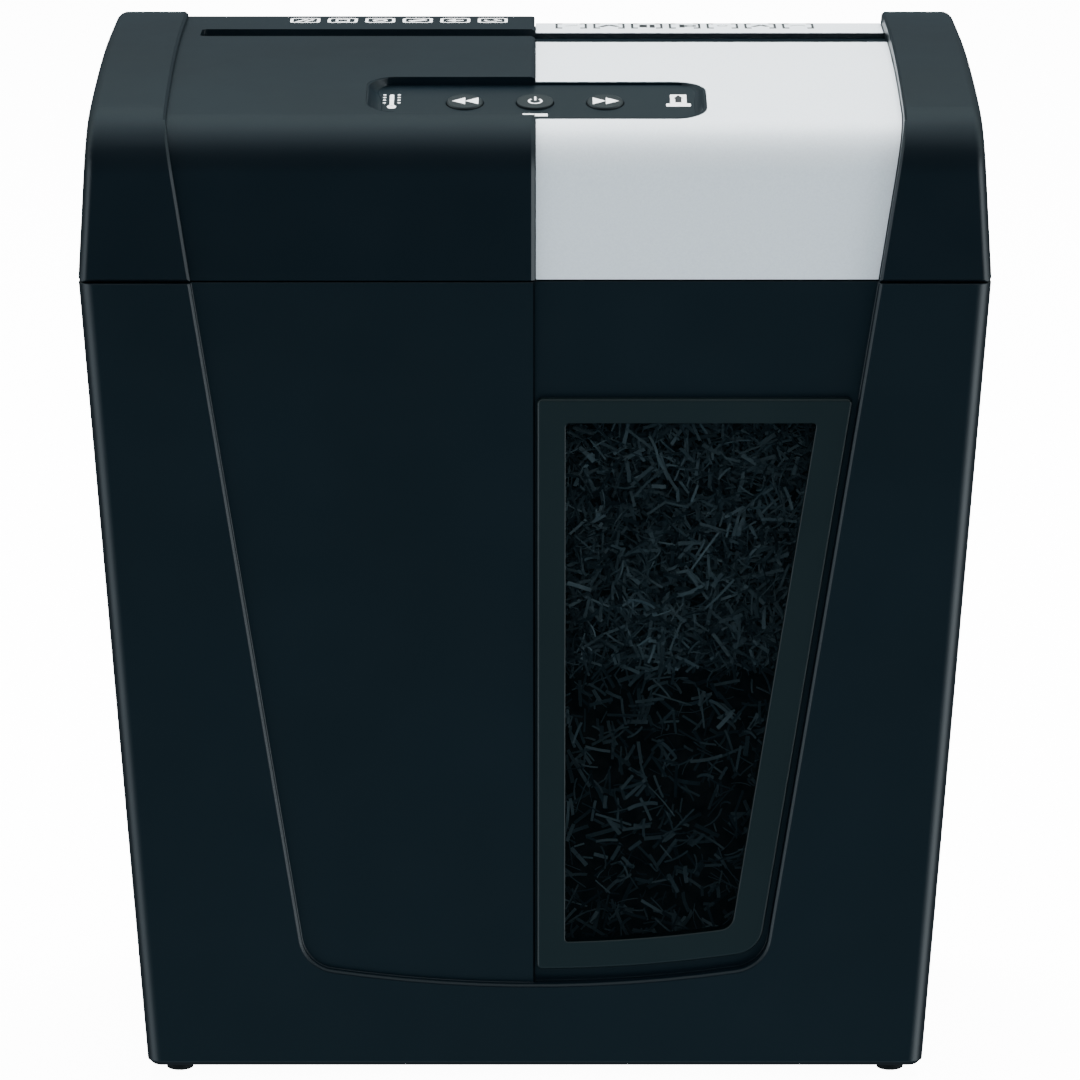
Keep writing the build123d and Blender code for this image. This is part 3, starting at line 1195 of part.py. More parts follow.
# Every piece under the name that it is written with
pieces = {
    "bin_shell": bin_shell.part,
    "window_panel": window_panel.part,
    "bin_feet": bin_feet.part,
    "head_cover": head_cover.part,
    "silver_fascia": silver_fascia.part,
    "silver_strip": silver_strip.part,
    "cord_gland": cord_gland.part,
    "control_deck": control_deck.part,
    "status_lens": status_lens.part,
    **buttons,
    "control_board": control_board.part,
    "base_tray": base_tray.part,
    "case_screws": case_screws.part,
    "interlock_plunger": interlock_plunger.part,
    "interlock_switch": interlock_switch.part,
    "power_board": power_board.part,
    **paper_guides,
    "paper_sensor": paper_sensor.part,
    "left_side_plate": left_side_plate.part,
    "right_side_plate": right_side_plate.part,
    "rubber_mounts": rubber_mounts.part,
    "tie_rods": tie_rods.part,
    "frame_screws": frame_screws.part,
    "cutter_bushings": cutter_bushings.part,
    **drive,
    "gear_axles": gear_axles.part,
    "gear_bracket": gear_bracket.part,
    "bracket_standoffs": bracket_standoffs.part,
    "motor_body": motor_body.part,
    "motor_shaft": motor_shaft.part,
    "cooling_fan": cooling_fan.part,
}
os.makedirs("parts", exist_ok=True)
for name, piece in pieces.items():
    piece.label = name
    export_step(piece, f"parts/{name}.step")
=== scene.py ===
import json
import math

import bmesh
import bpy
import numpy as np
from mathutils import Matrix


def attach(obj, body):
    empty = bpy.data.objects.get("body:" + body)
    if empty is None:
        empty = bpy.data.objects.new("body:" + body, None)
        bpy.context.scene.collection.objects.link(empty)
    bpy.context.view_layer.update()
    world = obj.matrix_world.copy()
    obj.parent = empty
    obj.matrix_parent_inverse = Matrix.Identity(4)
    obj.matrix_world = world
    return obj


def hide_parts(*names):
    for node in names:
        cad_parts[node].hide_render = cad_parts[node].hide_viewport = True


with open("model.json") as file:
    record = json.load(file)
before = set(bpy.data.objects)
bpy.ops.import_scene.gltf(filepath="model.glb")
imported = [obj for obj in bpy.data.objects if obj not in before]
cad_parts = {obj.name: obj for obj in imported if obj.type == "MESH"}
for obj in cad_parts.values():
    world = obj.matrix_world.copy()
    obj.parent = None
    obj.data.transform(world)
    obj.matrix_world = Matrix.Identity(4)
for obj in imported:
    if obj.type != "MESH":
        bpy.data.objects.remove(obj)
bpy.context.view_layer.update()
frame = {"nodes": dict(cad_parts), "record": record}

nodes = frame["nodes"]
mm = 0.001


# Node helpers: every finish is built from the same few shader nodes on Object coordinates
def newFinish(name):
    material = bpy.data.materials.new(name)
    material.use_nodes = True
    tree = material.node_tree
    return material, tree, tree.nodes["Principled BSDF"]


def addNode(tree, kind, **values):
    node = tree.nodes.new(kind)
    for key, value in values.items():
        if key in node.inputs:
            node.inputs[key].default_value = value
        else:
            setattr(node, key, value)
    return node


def objectNoise(tree, scale, detail=2.0):
    place = addNode(tree, "ShaderNodeTexCoord")
    noise = addNode(tree, "ShaderNodeTexNoise", Scale=scale, Detail=detail)
    tree.links.new(place.outputs["Object"], noise.inputs["Vector"])
    return noise.outputs["Fac"]


def colourRange(tree, factor, low, high, start=0.3, end=0.7):
    ramp = addNode(tree, "ShaderNodeValToRGB")
    ramp.color_ramp.elements[0].position = start
    ramp.color_ramp.elements[0].color = (*low, 1.0)
    ramp.color_ramp.elements[1].position = end
    ramp.color_ramp.elements[1].color = (*high, 1.0)
    tree.links.new(factor, ramp.inputs["Fac"])
    return ramp.outputs["Color"]


def numberRange(tree, factor, low, high):
    spread = addNode(tree, "ShaderNodeMapRange")
    spread.inputs["To Min"].default_value = low
    spread.inputs["To Max"].default_value = high
    tree.links.new(factor, spread.inputs["Value"])
    return spread.outputs["Result"]


def grainBump(tree, shader, scale, strength, distance):
    bump = addNode(tree, "ShaderNodeBump", Strength=strength, Distance=distance)
    tree.links.new(objectNoise(tree, scale, noiseDetail["grain"]), bump.inputs["Height"])
    tree.links.new(bump.outputs["Normal"], shader.inputs["Normal"])


# Scales of the noise behind each finish, in cycles per metre, and the shine of the two that are not moulded
noiseScale = {"gloss": 60.0, "glazeTint": 30.0, "glazeGloss": 45.0, "paperGloss": 300.0}
noiseDetail = {"grain": 3.0, "ground": 4.0}
shine = {"glaze": 0.12, "paper": 0.2}


# Moulded plastic: a fine spark-eroded grain, a little colour drift and uneven gloss
def mouldedPlastic(name, dark, light, gloss, grain, specular=0.5, drift=18.0):
    material, tree, shader = newFinish(name)
    tree.links.new(colourRange(tree, objectNoise(tree, drift), dark, light), shader.inputs["Base Color"])
    uneven = objectNoise(tree, noiseScale["gloss"])
    tree.links.new(numberRange(tree, uneven, *gloss), shader.inputs["Roughness"])
    shader.inputs["Specular IOR Level"].default_value = specular
    grainBump(tree, shader, grain["scale"], grain["strength"], grain["depth"])
    return material


# Metal: colour drift and roughness from noise stretched along the grinding direction
def groundMetal(name, dark, light, gloss, stretch):
    material, tree, shader = newFinish(name)
    place = addNode(tree, "ShaderNodeTexCoord")
    squeeze = addNode(tree, "ShaderNodeMapping", Scale=stretch)
    noise = addNode(tree, "ShaderNodeTexNoise", Scale=1.0, Detail=noiseDetail["ground"])
    tree.links.new(place.outputs["Object"], squeeze.inputs["Vector"])
    tree.links.new(squeeze.outputs["Vector"], noise.inputs["Vector"])
    tree.links.new(colourRange(tree, noise.outputs["Fac"], dark, light), shader.inputs["Base Color"])
    tree.links.new(numberRange(tree, noise.outputs["Fac"], *gloss), shader.inputs["Roughness"])
    shader.inputs["Metallic"].default_value = 1.0
    return material


# Smoked glazing: dark, polished and partly clear, with faint moulding haze in its gloss
def smokedGlaze(name, dark, light, gloss, cover):
    material, tree, shader = newFinish(name)
    tint = objectNoise(tree, noiseScale["glazeTint"])
    haze = objectNoise(tree, noiseScale["glazeGloss"])
    tree.links.new(colourRange(tree, tint, dark, light), shader.inputs["Base Color"])
    tree.links.new(numberRange(tree, haze, *gloss), shader.inputs["Roughness"])
    shader.inputs["Specular IOR Level"].default_value = shine["glaze"]
    shader.inputs["Alpha"].default_value = cover
    return material


# Paper: each strip has its own tone, carried by an attribute of its points
def shredPaper(name, dark, light, gloss):
    material, tree, shader = newFinish(name)
    tone = addNode(tree, "ShaderNodeAttribute", attribute_name="tone")
    tree.links.new(colourRange(tree, tone.outputs["Fac"], dark, light, 0.0, 1.0), shader.inputs["Base Color"])
    uneven = objectNoise(tree, noiseScale["paperGloss"])
    tree.links.new(numberRange(tree, uneven, *gloss), shader.inputs["Roughness"])
    shader.inputs["Specular IOR Level"].default_value = shine["paper"]
    return material


fineGrain = {"scale": 2600.0, "strength": 0.12, "depth": 0.00008}
satinGrain = {"scale": 3600.0, "strength": 0.06, "depth": 0.00005}

finishes = {
    "black_plastic": mouldedPlastic(
        "blackPlastic", (0.0013, 0.0045, 0.0072), (0.0017, 0.0055, 0.0088), (0.37, 0.43), fineGrain),
    "inner_plastic": mouldedPlastic(
        "innerPlastic", (0.0045, 0.0056, 0.0064), (0.0066, 0.008, 0.009), (0.45, 0.58), fineGrain),
    "key_plastic": mouldedPlastic(
        "keyPlastic", (0.007, 0.0105, 0.0125), (0.009, 0.0125, 0.0145), (0.3, 0.38), satinGrain),
    "plunger_plastic": mouldedPlastic(
        "plungerPlastic", (0.7, 0.7, 0.66), (0.78, 0.78, 0.74), (0.35, 0.45), satinGrain),
    "lens_plastic": mouldedPlastic(
        "lensPlastic", (0.9, 0.92, 0.93), (0.95, 0.96, 0.97), (0.15, 0.2), satinGrain),
    "silver_paint": mouldedPlastic(
        "silverPaint", (0.74, 0.8, 0.85), (0.8, 0.86, 0.91), (0.36, 0.44), satinGrain, drift=1500.0),
    "rubber": mouldedPlastic(
        "rubber", (0.003, 0.0036, 0.004), (0.006, 0.0066, 0.007), (0.7, 0.85), fineGrain, specular=0.3),
    "gear_nylon": mouldedPlastic(
        "gearNylon", (0.62, 0.6, 0.52), (0.72, 0.7, 0.62), (0.3, 0.42), satinGrain),
    "comb_plastic": mouldedPlastic(
        "combPlastic", (0.05, 0.052, 0.055), (0.07, 0.072, 0.075), (0.45, 0.6), fineGrain),
    "circuit_board": mouldedPlastic(
        "circuitBoard", (0.012, 0.08, 0.035), (0.02, 0.11, 0.05), (0.25, 0.35), satinGrain),
    "smoked_window": smokedGlaze(
        "smokedPane", (0.0008, 0.0016, 0.002), (0.0012, 0.0024, 0.003), (0.1, 0.16), 0.48),
    "steel": groundMetal(
        "zincSteel", (0.42, 0.43, 0.44), (0.58, 0.59, 0.6), (0.28, 0.42), (40.0, 900.0, 900.0)),
    "cutter_steel": groundMetal(
        "cutterSteel", (0.3, 0.3, 0.31), (0.46, 0.46, 0.47), (0.22, 0.38), (1200.0, 300.0, 300.0)),
    "screw_steel": groundMetal(
        "screwSteel", (0.2, 0.2, 0.21), (0.32, 0.32, 0.33), (0.3, 0.4), (600.0, 600.0, 600.0)),
    "brass": groundMetal(
        "brass", (0.55, 0.38, 0.14), (0.68, 0.5, 0.22), (0.22, 0.34), (60.0, 900.0, 900.0)),
    "motor_case": groundMetal(
        "motorCase", (0.1, 0.105, 0.11), (0.16, 0.165, 0.17), (0.35, 0.5), (2500.0, 60.0, 60.0)),
}
frameMatt = mouldedPlastic(
    "windowFrame", (0.0036, 0.0084, 0.0093), (0.0046, 0.01, 0.0111), (0.4, 0.46), fineGrain)
# Matt and painted darker than the black plastic: painted shade for the low wall down the middle of the bin
# front
stepShadeMatt = mouldedPlastic(
    "stepShadeMatt", (0.0006, 0.002, 0.003), (0.0008, 0.0024, 0.0036), (0.8, 0.9), fineGrain, specular=0.05)
paperStrip = shredPaper("shredPaper", (0.03, 0.06, 0.08), (0.56, 0.82, 0.94), (0.75, 0.9))
# Packed paper painted near black: painted shade standing in for the dark gaps deep in the heap of shreds
shadedPackedPaper = mouldedPlastic(
    "shadedPackedPaper", (0.006, 0.009, 0.011), (0.05, 0.058, 0.062), (0.8, 0.95), fineGrain,
    specular=0.1, drift=220.0)


# Printed ink: plain and matt, with a close drift of its colour
def printInk(name, dark, light):
    return mouldedPlastic(name, dark, light, (0.5, 0.6), satinGrain, specular=0.3, drift=400.0)


whiteInk = printInk("whiteInk", (0.84, 0.85, 0.86), (0.92, 0.93, 0.94))
darkInk = printInk("darkInk", (0.012, 0.014, 0.016), (0.022, 0.024, 0.026))
greyInk = printInk("greyInk", (0.2, 0.21, 0.22), (0.3, 0.31, 0.32))

slotOf = {entry["node"]: entry["material_slot"] for entry in frame["record"]["subparts"]}
bodyOf = {node: body for body, group in frame["record"]["behaviour"]["bodies"].items() for node in group}
for name, node in nodes.items():
    node.data.materials.clear()
    node.data.materials.append(finishes[slotOf[name]])
print("finishes on", len(nodes), "nodes")


def placePiece(name, mesh, body, slot, material):
    piece = bpy.data.objects.new(name, mesh)
    bpy.context.scene.collection.objects.link(piece)
    mesh.materials.clear()
    mesh.materials.append(material)
    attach(piece, body)
    return piece


# Skins: a merged copy of a moulded node, smooth over its rounds and crisp at its steps, with softened edges
skin = {"sharpAngle": math.radians(33.0), "coplanar": 0.004, "weld": 2e-6, "segments": 2, "faceWeight": 50}
edgeRounds = {
    "head_cover": 0.22, "bin_shell": 0.22, "silver_fascia": 0.22, "silver_strip": 0.2, "control_deck": 0.2,
    "reverse_button": 0.55, "power_button": 0.55, "forward_button": 0.55, "status_lens": 0.25,
    "bin_feet": 0.5, "cord_gland": 0.4, "base_tray": 0.3, "interlock_plunger": 0.3,
}


# A mesh's points, the two ends of each edge and the edges marked sharp, as whole arrays
def edgeArrays(mesh):
    points = np.empty(len(mesh.vertices) * 3, dtype=np.float32)
    ends = np.empty(len(mesh.edges) * 2, dtype=np.int32)
    crisp = np.empty(len(mesh.edges), dtype=bool)
    mesh.vertices.foreach_get("co", points)
    mesh.edges.foreach_get("vertices", ends)
    mesh.edges.foreach_get("use_edge_sharp", crisp)
    return points.reshape(-1, 3), ends.reshape(-1, 2), crisp


# The low wall down the middle of the bin front takes no shine and is painted darker than the black plastic, a
# painted shade beside the step; its edges stay square
shadedStepZone = {"reach": 0.9, "facing": 0.3}


def dullShadedStep(mesh):
    count = len(mesh.polygons)
    centre, normal = np.empty(count * 3), np.empty(count * 3)
    mesh.polygons.foreach_get("center", centre)
    mesh.polygons.foreach_get("normal", normal)
    # Faces of the low wall that face right get the darker matt finish, a painted shade beside the step
    paintedShadeFaces = (np.abs(centre[::3]) < shadedStepZone["reach"] * mm) & (normal[::3] > shadedStepZone["facing"])
    mesh.polygons.foreach_set("material_index", paintedShadeFaces.astype(np.int32))
    mesh.materials.append(stepShadeMatt)
    points, ends, crisp = edgeArrays(mesh)
    offStep = (np.abs(points[:, 0]) > shadedStepZone["reach"] * mm)[ends].any(axis=1)
    weight = mesh.attributes.new("bevel_weight_edge", "FLOAT", "EDGE")
    weight.data.foreach_set("value", (crisp & offStep).astype(np.float32))


# The sloping edge down the middle of the head is as broad as it looks, and stays crisp
middleSlope = {"cad": -0.6, "broad": -1.15, "near": 0.03}


def broadSlope(mesh):
    points, ends, crisp = edgeArrays(mesh)
    onEdge = np.abs(points[:, 0] - middleSlope["cad"] * mm) < middleSlope["near"] * mm
    mesh.edges.foreach_set("use_edge_sharp", crisp | onEdge[ends].all(axis=1))
    points[onEdge, 0] = middleSlope["broad"] * mm
    mesh.vertices.foreach_set("co", points.ravel())
    mesh.update()


def smoothSkin(node, edgeRound):
    slot = slotOf[node]
    mesh = nodes[node].data.copy()
    shape = bmesh.new()
    shape.from_mesh(mesh)
    bmesh.ops.remove_doubles(shape, verts=shape.verts, dist=skin["weld"])
    bmesh.ops.dissolve_limit(
        shape, angle_limit=skin["coplanar"], verts=shape.verts, edges=shape.edges, delimit={"NORMAL"})
    for face in shape.faces:
        face.smooth = True
    for edge in shape.edges:
        edge.smooth = edge.is_manifold and edge.calc_face_angle() < skin["sharpAngle"]
    shape.to_mesh(mesh)
    shape.free()
    piece = placePiece(node + "_skin", mesh, bodyOf[node], slot, finishes[slot])
    if node == "bin_shell":
        dullShadedStep(mesh)
    if node == "head_cover":
        broadSlope(mesh)
    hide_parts(node)
    soften = piece.modifiers.new("soften", "BEVEL")
    soften.limit_method = "WEIGHT" if node == "bin_shell" else "ANGLE"
    soften.angle_limit = skin["sharpAngle"]
    soften.width = edgeRound * mm
    soften.segments = skin["segments"]
    even = piece.modifiers.new("even", "WEIGHTED_NORMAL")
    even.mode = "FACE_AREA"
    even.weight = skin["faceWeight"]
    even.keep_sharp = True


for node, edgeRound in edgeRounds.items():
    smoothSkin(node, edgeRound)
print("skins", len(edgeRounds))


# A mesh from whole arrays of points and faces, its faces turned outwards
def closedMesh(name, points, faces):
    mesh = bpy.data.meshes.new(name)
    mesh.from_pydata(points.reshape(-1, 3).tolist(), [], faces)
    shape = bmesh.new()
    shape.from_mesh(mesh)
    bmesh.ops.recalc_face_normals(shape, faces=shape.faces)
    shape.to_mesh(mesh)
    shape.free()
    return mesh


# Quads between neighbouring closed rows of points; around also joins the last row to the first
def rowFaces(rows, columns, around):
    index = np.arange(rows * columns).reshape(rows, columns)
    last = rows if around else rows - 1
    here = index[:last]
    above = np.roll(index, -1, axis=0)[:last]
    quads = np.stack([here, np.roll(here, -1, axis=1), np.roll(above, -1, axis=1), above], axis=-1)
    return quads.reshape(-1, 4).tolist()


# The first and the last row of points as two end faces
def endFaces(rows, columns):
    return [list(range(columns)), list(range((rows - 1) * columns, rows * columns))]


# Front of the bin: x across, up along the face from the seam, depth inwards from its skin;
# the face leans back 7 mm over its 258.5 mm height
frontFace = {"y": -79.0, "z": 262.0, "lean": math.atan2(7.0, 258.5)}


def frontPoint(x, up, depth):
    lean = frontFace["lean"]
    y = frontFace["y"] - up * math.sin(lean) + depth * math.cos(lean)
    z = frontFace["z"] + up * math.cos(lean) + depth * math.sin(lean)
    return np.stack(np.broadcast_arrays(x, y, z), axis=-1) * mm


def arcPoints(x, up, radius, start, end, count):
    turn = np.linspace(start, end, count)
    return np.stack([x + radius * np.cos(turn), up + radius * np.sin(turn)], axis=-1)


# Half shield: a middle line, a bottom arc, a slanting side and a level top, all moved in by an inset,
# with a large round where side and bottom meet and small rounds in the other corners
shield = {
    "topHalf": 107.8, "slope": 0.1525, "footCentre": 209.2, "footRadius": 440.0, "leastRound": 0.1,
    "points": {"foot": 14, "large": 17, "small": 7},
}


def shieldOutline(inner, edge, rise, corner, small, top, inset):
    slope, centre, points = shield["slope"], shield["footCentre"], shield["points"]
    steep = math.hypot(1.0, slope)
    left, high = inner + inset, top - inset
    reach = shield["topHalf"] - edge - inset * steep
    foot = shield["footRadius"] - rise - inset
    big, little = corner - inset, max(small - inset, shield["leastRound"])
    shifted = reach - big * steep
    half = shifted * slope - centre
    inside = half**2 - steep**2 * (shifted**2 + centre**2 - (foot - big) ** 2)
    bigUp = (-half - math.sqrt(inside)) / steep**2
    bigX = shifted + slope * bigUp
    lowX = left + little
    lowUp = centre - math.sqrt((foot - little) ** 2 - lowX**2)
    lowEnd = 2 * math.pi + math.atan2(lowUp - centre, lowX)
    bigStart = math.atan2(bigUp - centre, bigX)
    sideTurn = math.atan2(-slope, 1.0)
    footTurn = np.linspace(lowEnd - 2 * math.pi, bigStart, points["foot"])[1:-1]
    footArc = np.stack([foot * np.cos(footTurn), centre + foot * np.sin(footTurn)], axis=-1)
    highX = reach + slope * (high - little) - little * steep
    return np.concatenate([
        arcPoints(lowX, lowUp, little, math.pi, lowEnd, points["small"]),
        footArc,
        arcPoints(bigX, bigUp, big, bigStart, sideTurn, points["large"]),
        arcPoints(highX, high - little, little, sideTurn, math.pi / 2, points["small"]),
        arcPoints(left + little, high - little, little, math.pi / 2, math.pi, points["small"]),
    ])


# Window panel: a plate ring with rounded outer edge and a lipped hole, and a pane set back in the hole
window = {
    "panel": {"inner": 0.7, "edge": 2.0, "rise": 4.6, "corner": 10.0, "small": 1.6, "top": -37.8},
    "hole": {"inner": 9.5, "edge": 12.0, "rise": 13.5, "corner": 5.0, "small": 1.2, "top": -45.5},
    "front": 1.8,
    "back": 4.4,
    "paneBack": 7.0,
    "paneSetBack": 0.4,
    "paneGap": 0.02,
    "paneEdge": 0.2,
    "edgeRound": 0.8,
    "roundSteps": 6,
    "fit": 0.15,
    "lip": 0.25,
}


def windowFrame():
    front, back, edgeRound = window["front"], window["back"], window["edgeRound"]
    fit, lip = window["fit"], window["lip"]
    turn = np.linspace(0.0, math.pi / 2, window["roundSteps"])
    sections = [("panel", 0.0, back)]
    sections += list(zip(
        ["panel"] * len(turn), edgeRound * (1 - np.cos(turn)), front + edgeRound * (1 - np.sin(turn))))
    sections += [("hole", fit - lip, front), ("hole", fit, front + lip), ("hole", fit, back)]
    rows = []
    for outline, inset, depth in sections:
        loop = shieldOutline(**window[outline], inset=inset)
        rows.append(frontPoint(loop[:, 0], loop[:, 1], depth))
    points = np.stack(rows)
    mesh = closedMesh("window_frame", points, rowFaces(len(rows), points.shape[1], True))
    piece = placePiece("window_frame", mesh, "bin", "black_plastic", frameMatt)
    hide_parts("window_panel")


def windowPane():
    face = window["front"] + window["paneSetBack"]
    gap, edge = window["fit"] + window["paneGap"], window["paneEdge"]
    rows = []
    for inset, depth in ((gap + edge, face), (gap, face + edge), (gap, window["paneBack"])):
        loop = shieldOutline(**window["hole"], inset=inset)
        rows.append(frontPoint(loop[:, 0], loop[:, 1], depth))
    points = np.stack(rows)
    columns = points.shape[1]
    faces = rowFaces(len(rows), columns, False) + endFaces(len(rows), columns)
    mesh = closedMesh("window_pane", points, faces)
    piece = placePiece("window_pane", mesh, "bin", "smoked_window", finishes["smoked_window"])
    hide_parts("window_panel")


windowFrame()
windowPane()
print("window frame and pane")


# Shreds: each strip is a thin flat section carried along an arc, which bends it out of its own plane
strip = {"rows": 5, "corners": 4, "longer": 1.6}


def shredMesh(name, rng, centre, along, face, shape, fade):
    count, each = len(centre), strip["rows"] * strip["corners"]
    length = rng.uniform(*shape["length"], count)
    length = length * np.where(rng.random(count) < shape["longShare"], strip["longer"], 1.0)
    width = rng.uniform(*shape["width"], count)
    curl = rng.normal(0.0, shape["curl"], count)
    tone = rng.beta(*shape["tone"], count) * fade
    run = np.linspace(-0.5, 0.5, strip["rows"])
    turn = curl[:, None] * run
    forward = length[:, None] * run * np.sinc(turn / np.pi)
    outward = length[:, None] * curl[:, None] * run**2 / 2 * np.sinc(turn / (2 * np.pi)) ** 2
    side = np.cross(face, along)
    line = centre[:, None] + forward[..., None] * along[:, None] + outward[..., None] * face[:, None]
    upright = np.cos(turn)[..., None] * face[:, None] - np.sin(turn)[..., None] * along[:, None]
    across = np.broadcast_to((width[:, None] / 2 * side)[:, None], line.shape)
    thick = shape["thick"] / 2 * upright
    points = np.stack(
        [line - across - thick, line + across - thick, line + across + thick, line - across + thick], axis=2)
    ring = np.array(rowFaces(strip["rows"], strip["corners"], False))
    start = np.arange(strip["corners"])
    ends = np.stack([start[::-1], start + each - strip["corners"]])
    faces = (np.arange(count)[:, None, None] * each + np.concatenate([ring, ends])).reshape(-1, 4)
    mesh = bpy.data.meshes.new(name)
    mesh.from_pydata((points.reshape(-1, 3) * mm).tolist(), [], faces.tolist())
    shade = mesh.attributes.new("tone", "FLOAT", "POINT")
    shade.data.foreach_set("value", np.repeat(tone, each).astype(np.float32))
    placePiece(name, mesh, "bin", "plunger_plastic", paperStrip)


def unit(vectors):
    return vectors / np.linalg.norm(vectors, axis=-1, keepdims=True)


# Length and face directions of strips that lie along a layer, tilted out of it and rolled about their length
def stripAxes(flat, out, tilt, roll):
    along = np.cos(tilt)[:, None] * flat + np.sin(tilt)[:, None] * out
    level = unit(np.cross(along, out))
    square = np.cross(level, along)
    return along, np.cos(roll)[:, None] * square + np.sin(roll)[:, None] * level


# Strips that lie against the back of the pane, thick in the upper half and sparse in the lower; their tones
# are darker in the lower half and in broad patches
frontShreds = {
    "seed": 11,
    "upper": {"count": 4300, "x": (5.0, 96.0), "up": (-129.0, -38.0), "spread": 9.0, "tone": 1.0},
    "lower": {"count": 950, "x": (5.0, 84.0), "up": (-232.0, -124.0), "spread": 11.0, "tone": 0.62},
    "nearest": 10.4,
    "tiltRoom": 8.0,
    "crowding": 1.5,
    "darkPatch": {"across": 8.0, "phase": 0.8, "up": 10.0, "drift": 23.0, "depth": 0.3},
    "tilt": 0.26,
    "roll": 0.85,
    "shape": {
        "length": (2.8, 9.5), "width": (0.4, 1.35), "thick": 0.12, "curl": 0.7, "longShare": 0.16,
        "tone": (1.0, 1.7)},
}


def paneShreds():
    rng = np.random.default_rng(frontShreds["seed"])
    zones = [frontShreds["upper"], frontShreds["lower"]]
    counts = [zone["count"] for zone in zones]
    count = sum(counts)
    x = np.concatenate([rng.uniform(*zone["x"], zone["count"]) for zone in zones])
    up = np.concatenate([rng.uniform(*zone["up"], zone["count"]) for zone in zones])
    spread = np.repeat([zone["spread"] for zone in zones], counts)
    heading = rng.uniform(-np.pi, np.pi, count)
    tilt = rng.normal(0.0, frontShreds["tilt"], count)
    roll = rng.normal(0.0, frontShreds["roll"], count)
    room = frontShreds["tiltRoom"] * np.abs(np.sin(tilt))
    depth = frontShreds["nearest"] + room + spread * rng.random(count) ** frontShreds["crowding"]
    lean = frontFace["lean"]
    right = np.array([1.0, 0.0, 0.0])
    upward = np.array([0.0, -math.sin(lean), math.cos(lean)])
    inward = np.array([0.0, math.cos(lean), math.sin(lean)])
    flat = np.cos(heading)[:, None] * right + np.sin(heading)[:, None] * upward
    along, face = stripAxes(flat, inward, tilt, roll)
    centre = frontPoint(x, up, depth) / mm
    # Tones are made darker in the lower half and in broad patches across the pane
    darkPatch = frontShreds["darkPatch"]
    wave = np.sin(x / darkPatch["across"] + darkPatch["phase"]) * np.cos(up / darkPatch["up"] + x / darkPatch["drift"])
    fade = np.repeat([zone["tone"] for zone in zones], counts) * (1.0 - darkPatch["depth"] * (0.5 - 0.5 * wave))
    shredMesh("pane_shreds", rng, centre, along, face, frontShreds["shape"], fade)


# The imported heap behind them: rounded-box rings that rise with the bin's taper and close over a lumpy top;
# its near black paper is painted shade
heap = {
    "seed": 5,
    "low": {"z": 8.0, "half": 116.0, "front": -49.0, "rear": 65.0},
    "high": {"z": 205.0, "half": 119.0, "front": -54.0, "rear": 70.0},
    "squareness": 6.0,
    "around": 96,
    "wallRows": 12,
    "topRows": 8,
    "crown": {"rise": 6.0, "half": 125.0},
    "lump": {"height": 3.0, "x": 17.0, "phase": 0.6, "y": 13.0, "fine": 0.6, "fineX": 7.3, "fineY": 9.1},
    "closing": {"floor": 0.96, "top": 0.97, "middle": 0.02},
    "count": 2600,
    "strewn": {"x": (-112.0, 112.0), "y": (-52.0, 66.0), "tilt": 0.22, "roll": 0.35, "lift": (0.8, 5.3)},
    "shape": {
        "length": (9.0, 15.0), "width": (1.4, 2.4), "thick": 0.12, "curl": 0.8, "longShare": 0.2,
        "tone": (2.4, 1.6)},
}


def heapTop(x, y):
    lump, crown = heap["lump"], heap["crown"]
    wave = np.sin(x / lump["x"] + lump["phase"]) * np.cos(y / lump["y"])
    wave = wave + lump["fine"] * np.sin(x / lump["fineX"] + y / lump["fineY"])
    return heap["high"]["z"] + crown["rise"] * (1 - (x / crown["half"]) ** 2) + lump["height"] * wave


def packedHeap():
    low, high, columns = heap["low"], heap["high"], heap["around"]
    around = np.linspace(0.0, 2 * np.pi, columns + 1)[:-1]
    power = 2.0 / heap["squareness"]
    ringX = np.sign(np.cos(around)) * np.abs(np.cos(around)) ** power
    ringY = np.sign(np.sin(around)) * np.abs(np.sin(around)) ** power
    climb = np.linspace(0.0, 1.0, heap["wallRows"])
    share = np.concatenate([[0.0, 0.0], climb, np.ones(heap["topRows"])])[:, None]
    closing = heap["closing"]
    floor = [closing["middle"], closing["floor"]]
    inward = np.linspace(closing["top"], closing["middle"], heap["topRows"])
    scale = np.concatenate([floor, np.ones(heap["wallRows"]), inward])[:, None]
    half = low["half"] + (high["half"] - low["half"]) * share
    front = low["front"] + (high["front"] - low["front"]) * share
    rear = low["rear"] + (high["rear"] - low["rear"]) * share
    x = scale * half * ringX
    y = (front + rear) / 2 + scale * (rear - front) / 2 * ringY
    wall = low["z"] + (high["z"] - heap["crown"]["rise"] - low["z"]) * share
    z = np.repeat(wall, columns, axis=1)
    top = slice(len(z) - heap["topRows"], None)
    z[top] = heapTop(x[top], y[top])
    points = np.stack([x, y, z], axis=-1) * mm
    faces = rowFaces(len(points), columns, False) + endFaces(len(points), columns)
    placePiece("packed_heap", closedMesh("packed_heap", points, faces), "bin", "inner_plastic", shadedPackedPaper)


def heapShreds():
    rng = np.random.default_rng(heap["seed"])
    count, strewn = heap["count"], heap["strewn"]
    x = rng.uniform(*strewn["x"], count)
    y = rng.uniform(*strewn["y"], count)
    heading = rng.uniform(-np.pi, np.pi, count)
    tilt = rng.normal(0.0, strewn["tilt"], count)
    roll = rng.normal(0.0, strewn["roll"], count)
    flat = np.stack([np.cos(heading), np.sin(heading), np.zeros(count)], axis=-1)
    along, face = stripAxes(flat, np.array([0.0, 0.0, 1.0]), tilt, roll)
    z = heapTop(x, y) + rng.uniform(*strewn["lift"], count)
    shredMesh("heap_shreds", rng, np.stack([x, y, z], axis=-1), along, face, heap["shape"], 1.0)


paneShreds()
packedHeap()
heapShreds()
print("shreds and heap")


# Prints: closed plates of ink, drawn as loops in millimetres and laid on a surface by a place function
ink = {
    "thick": 0.04, "sunk": 0.03, "leastRound": 0.05, "cornerShare": 2.1,
    "circlePoints": 33, "arcPoints": 25,
}


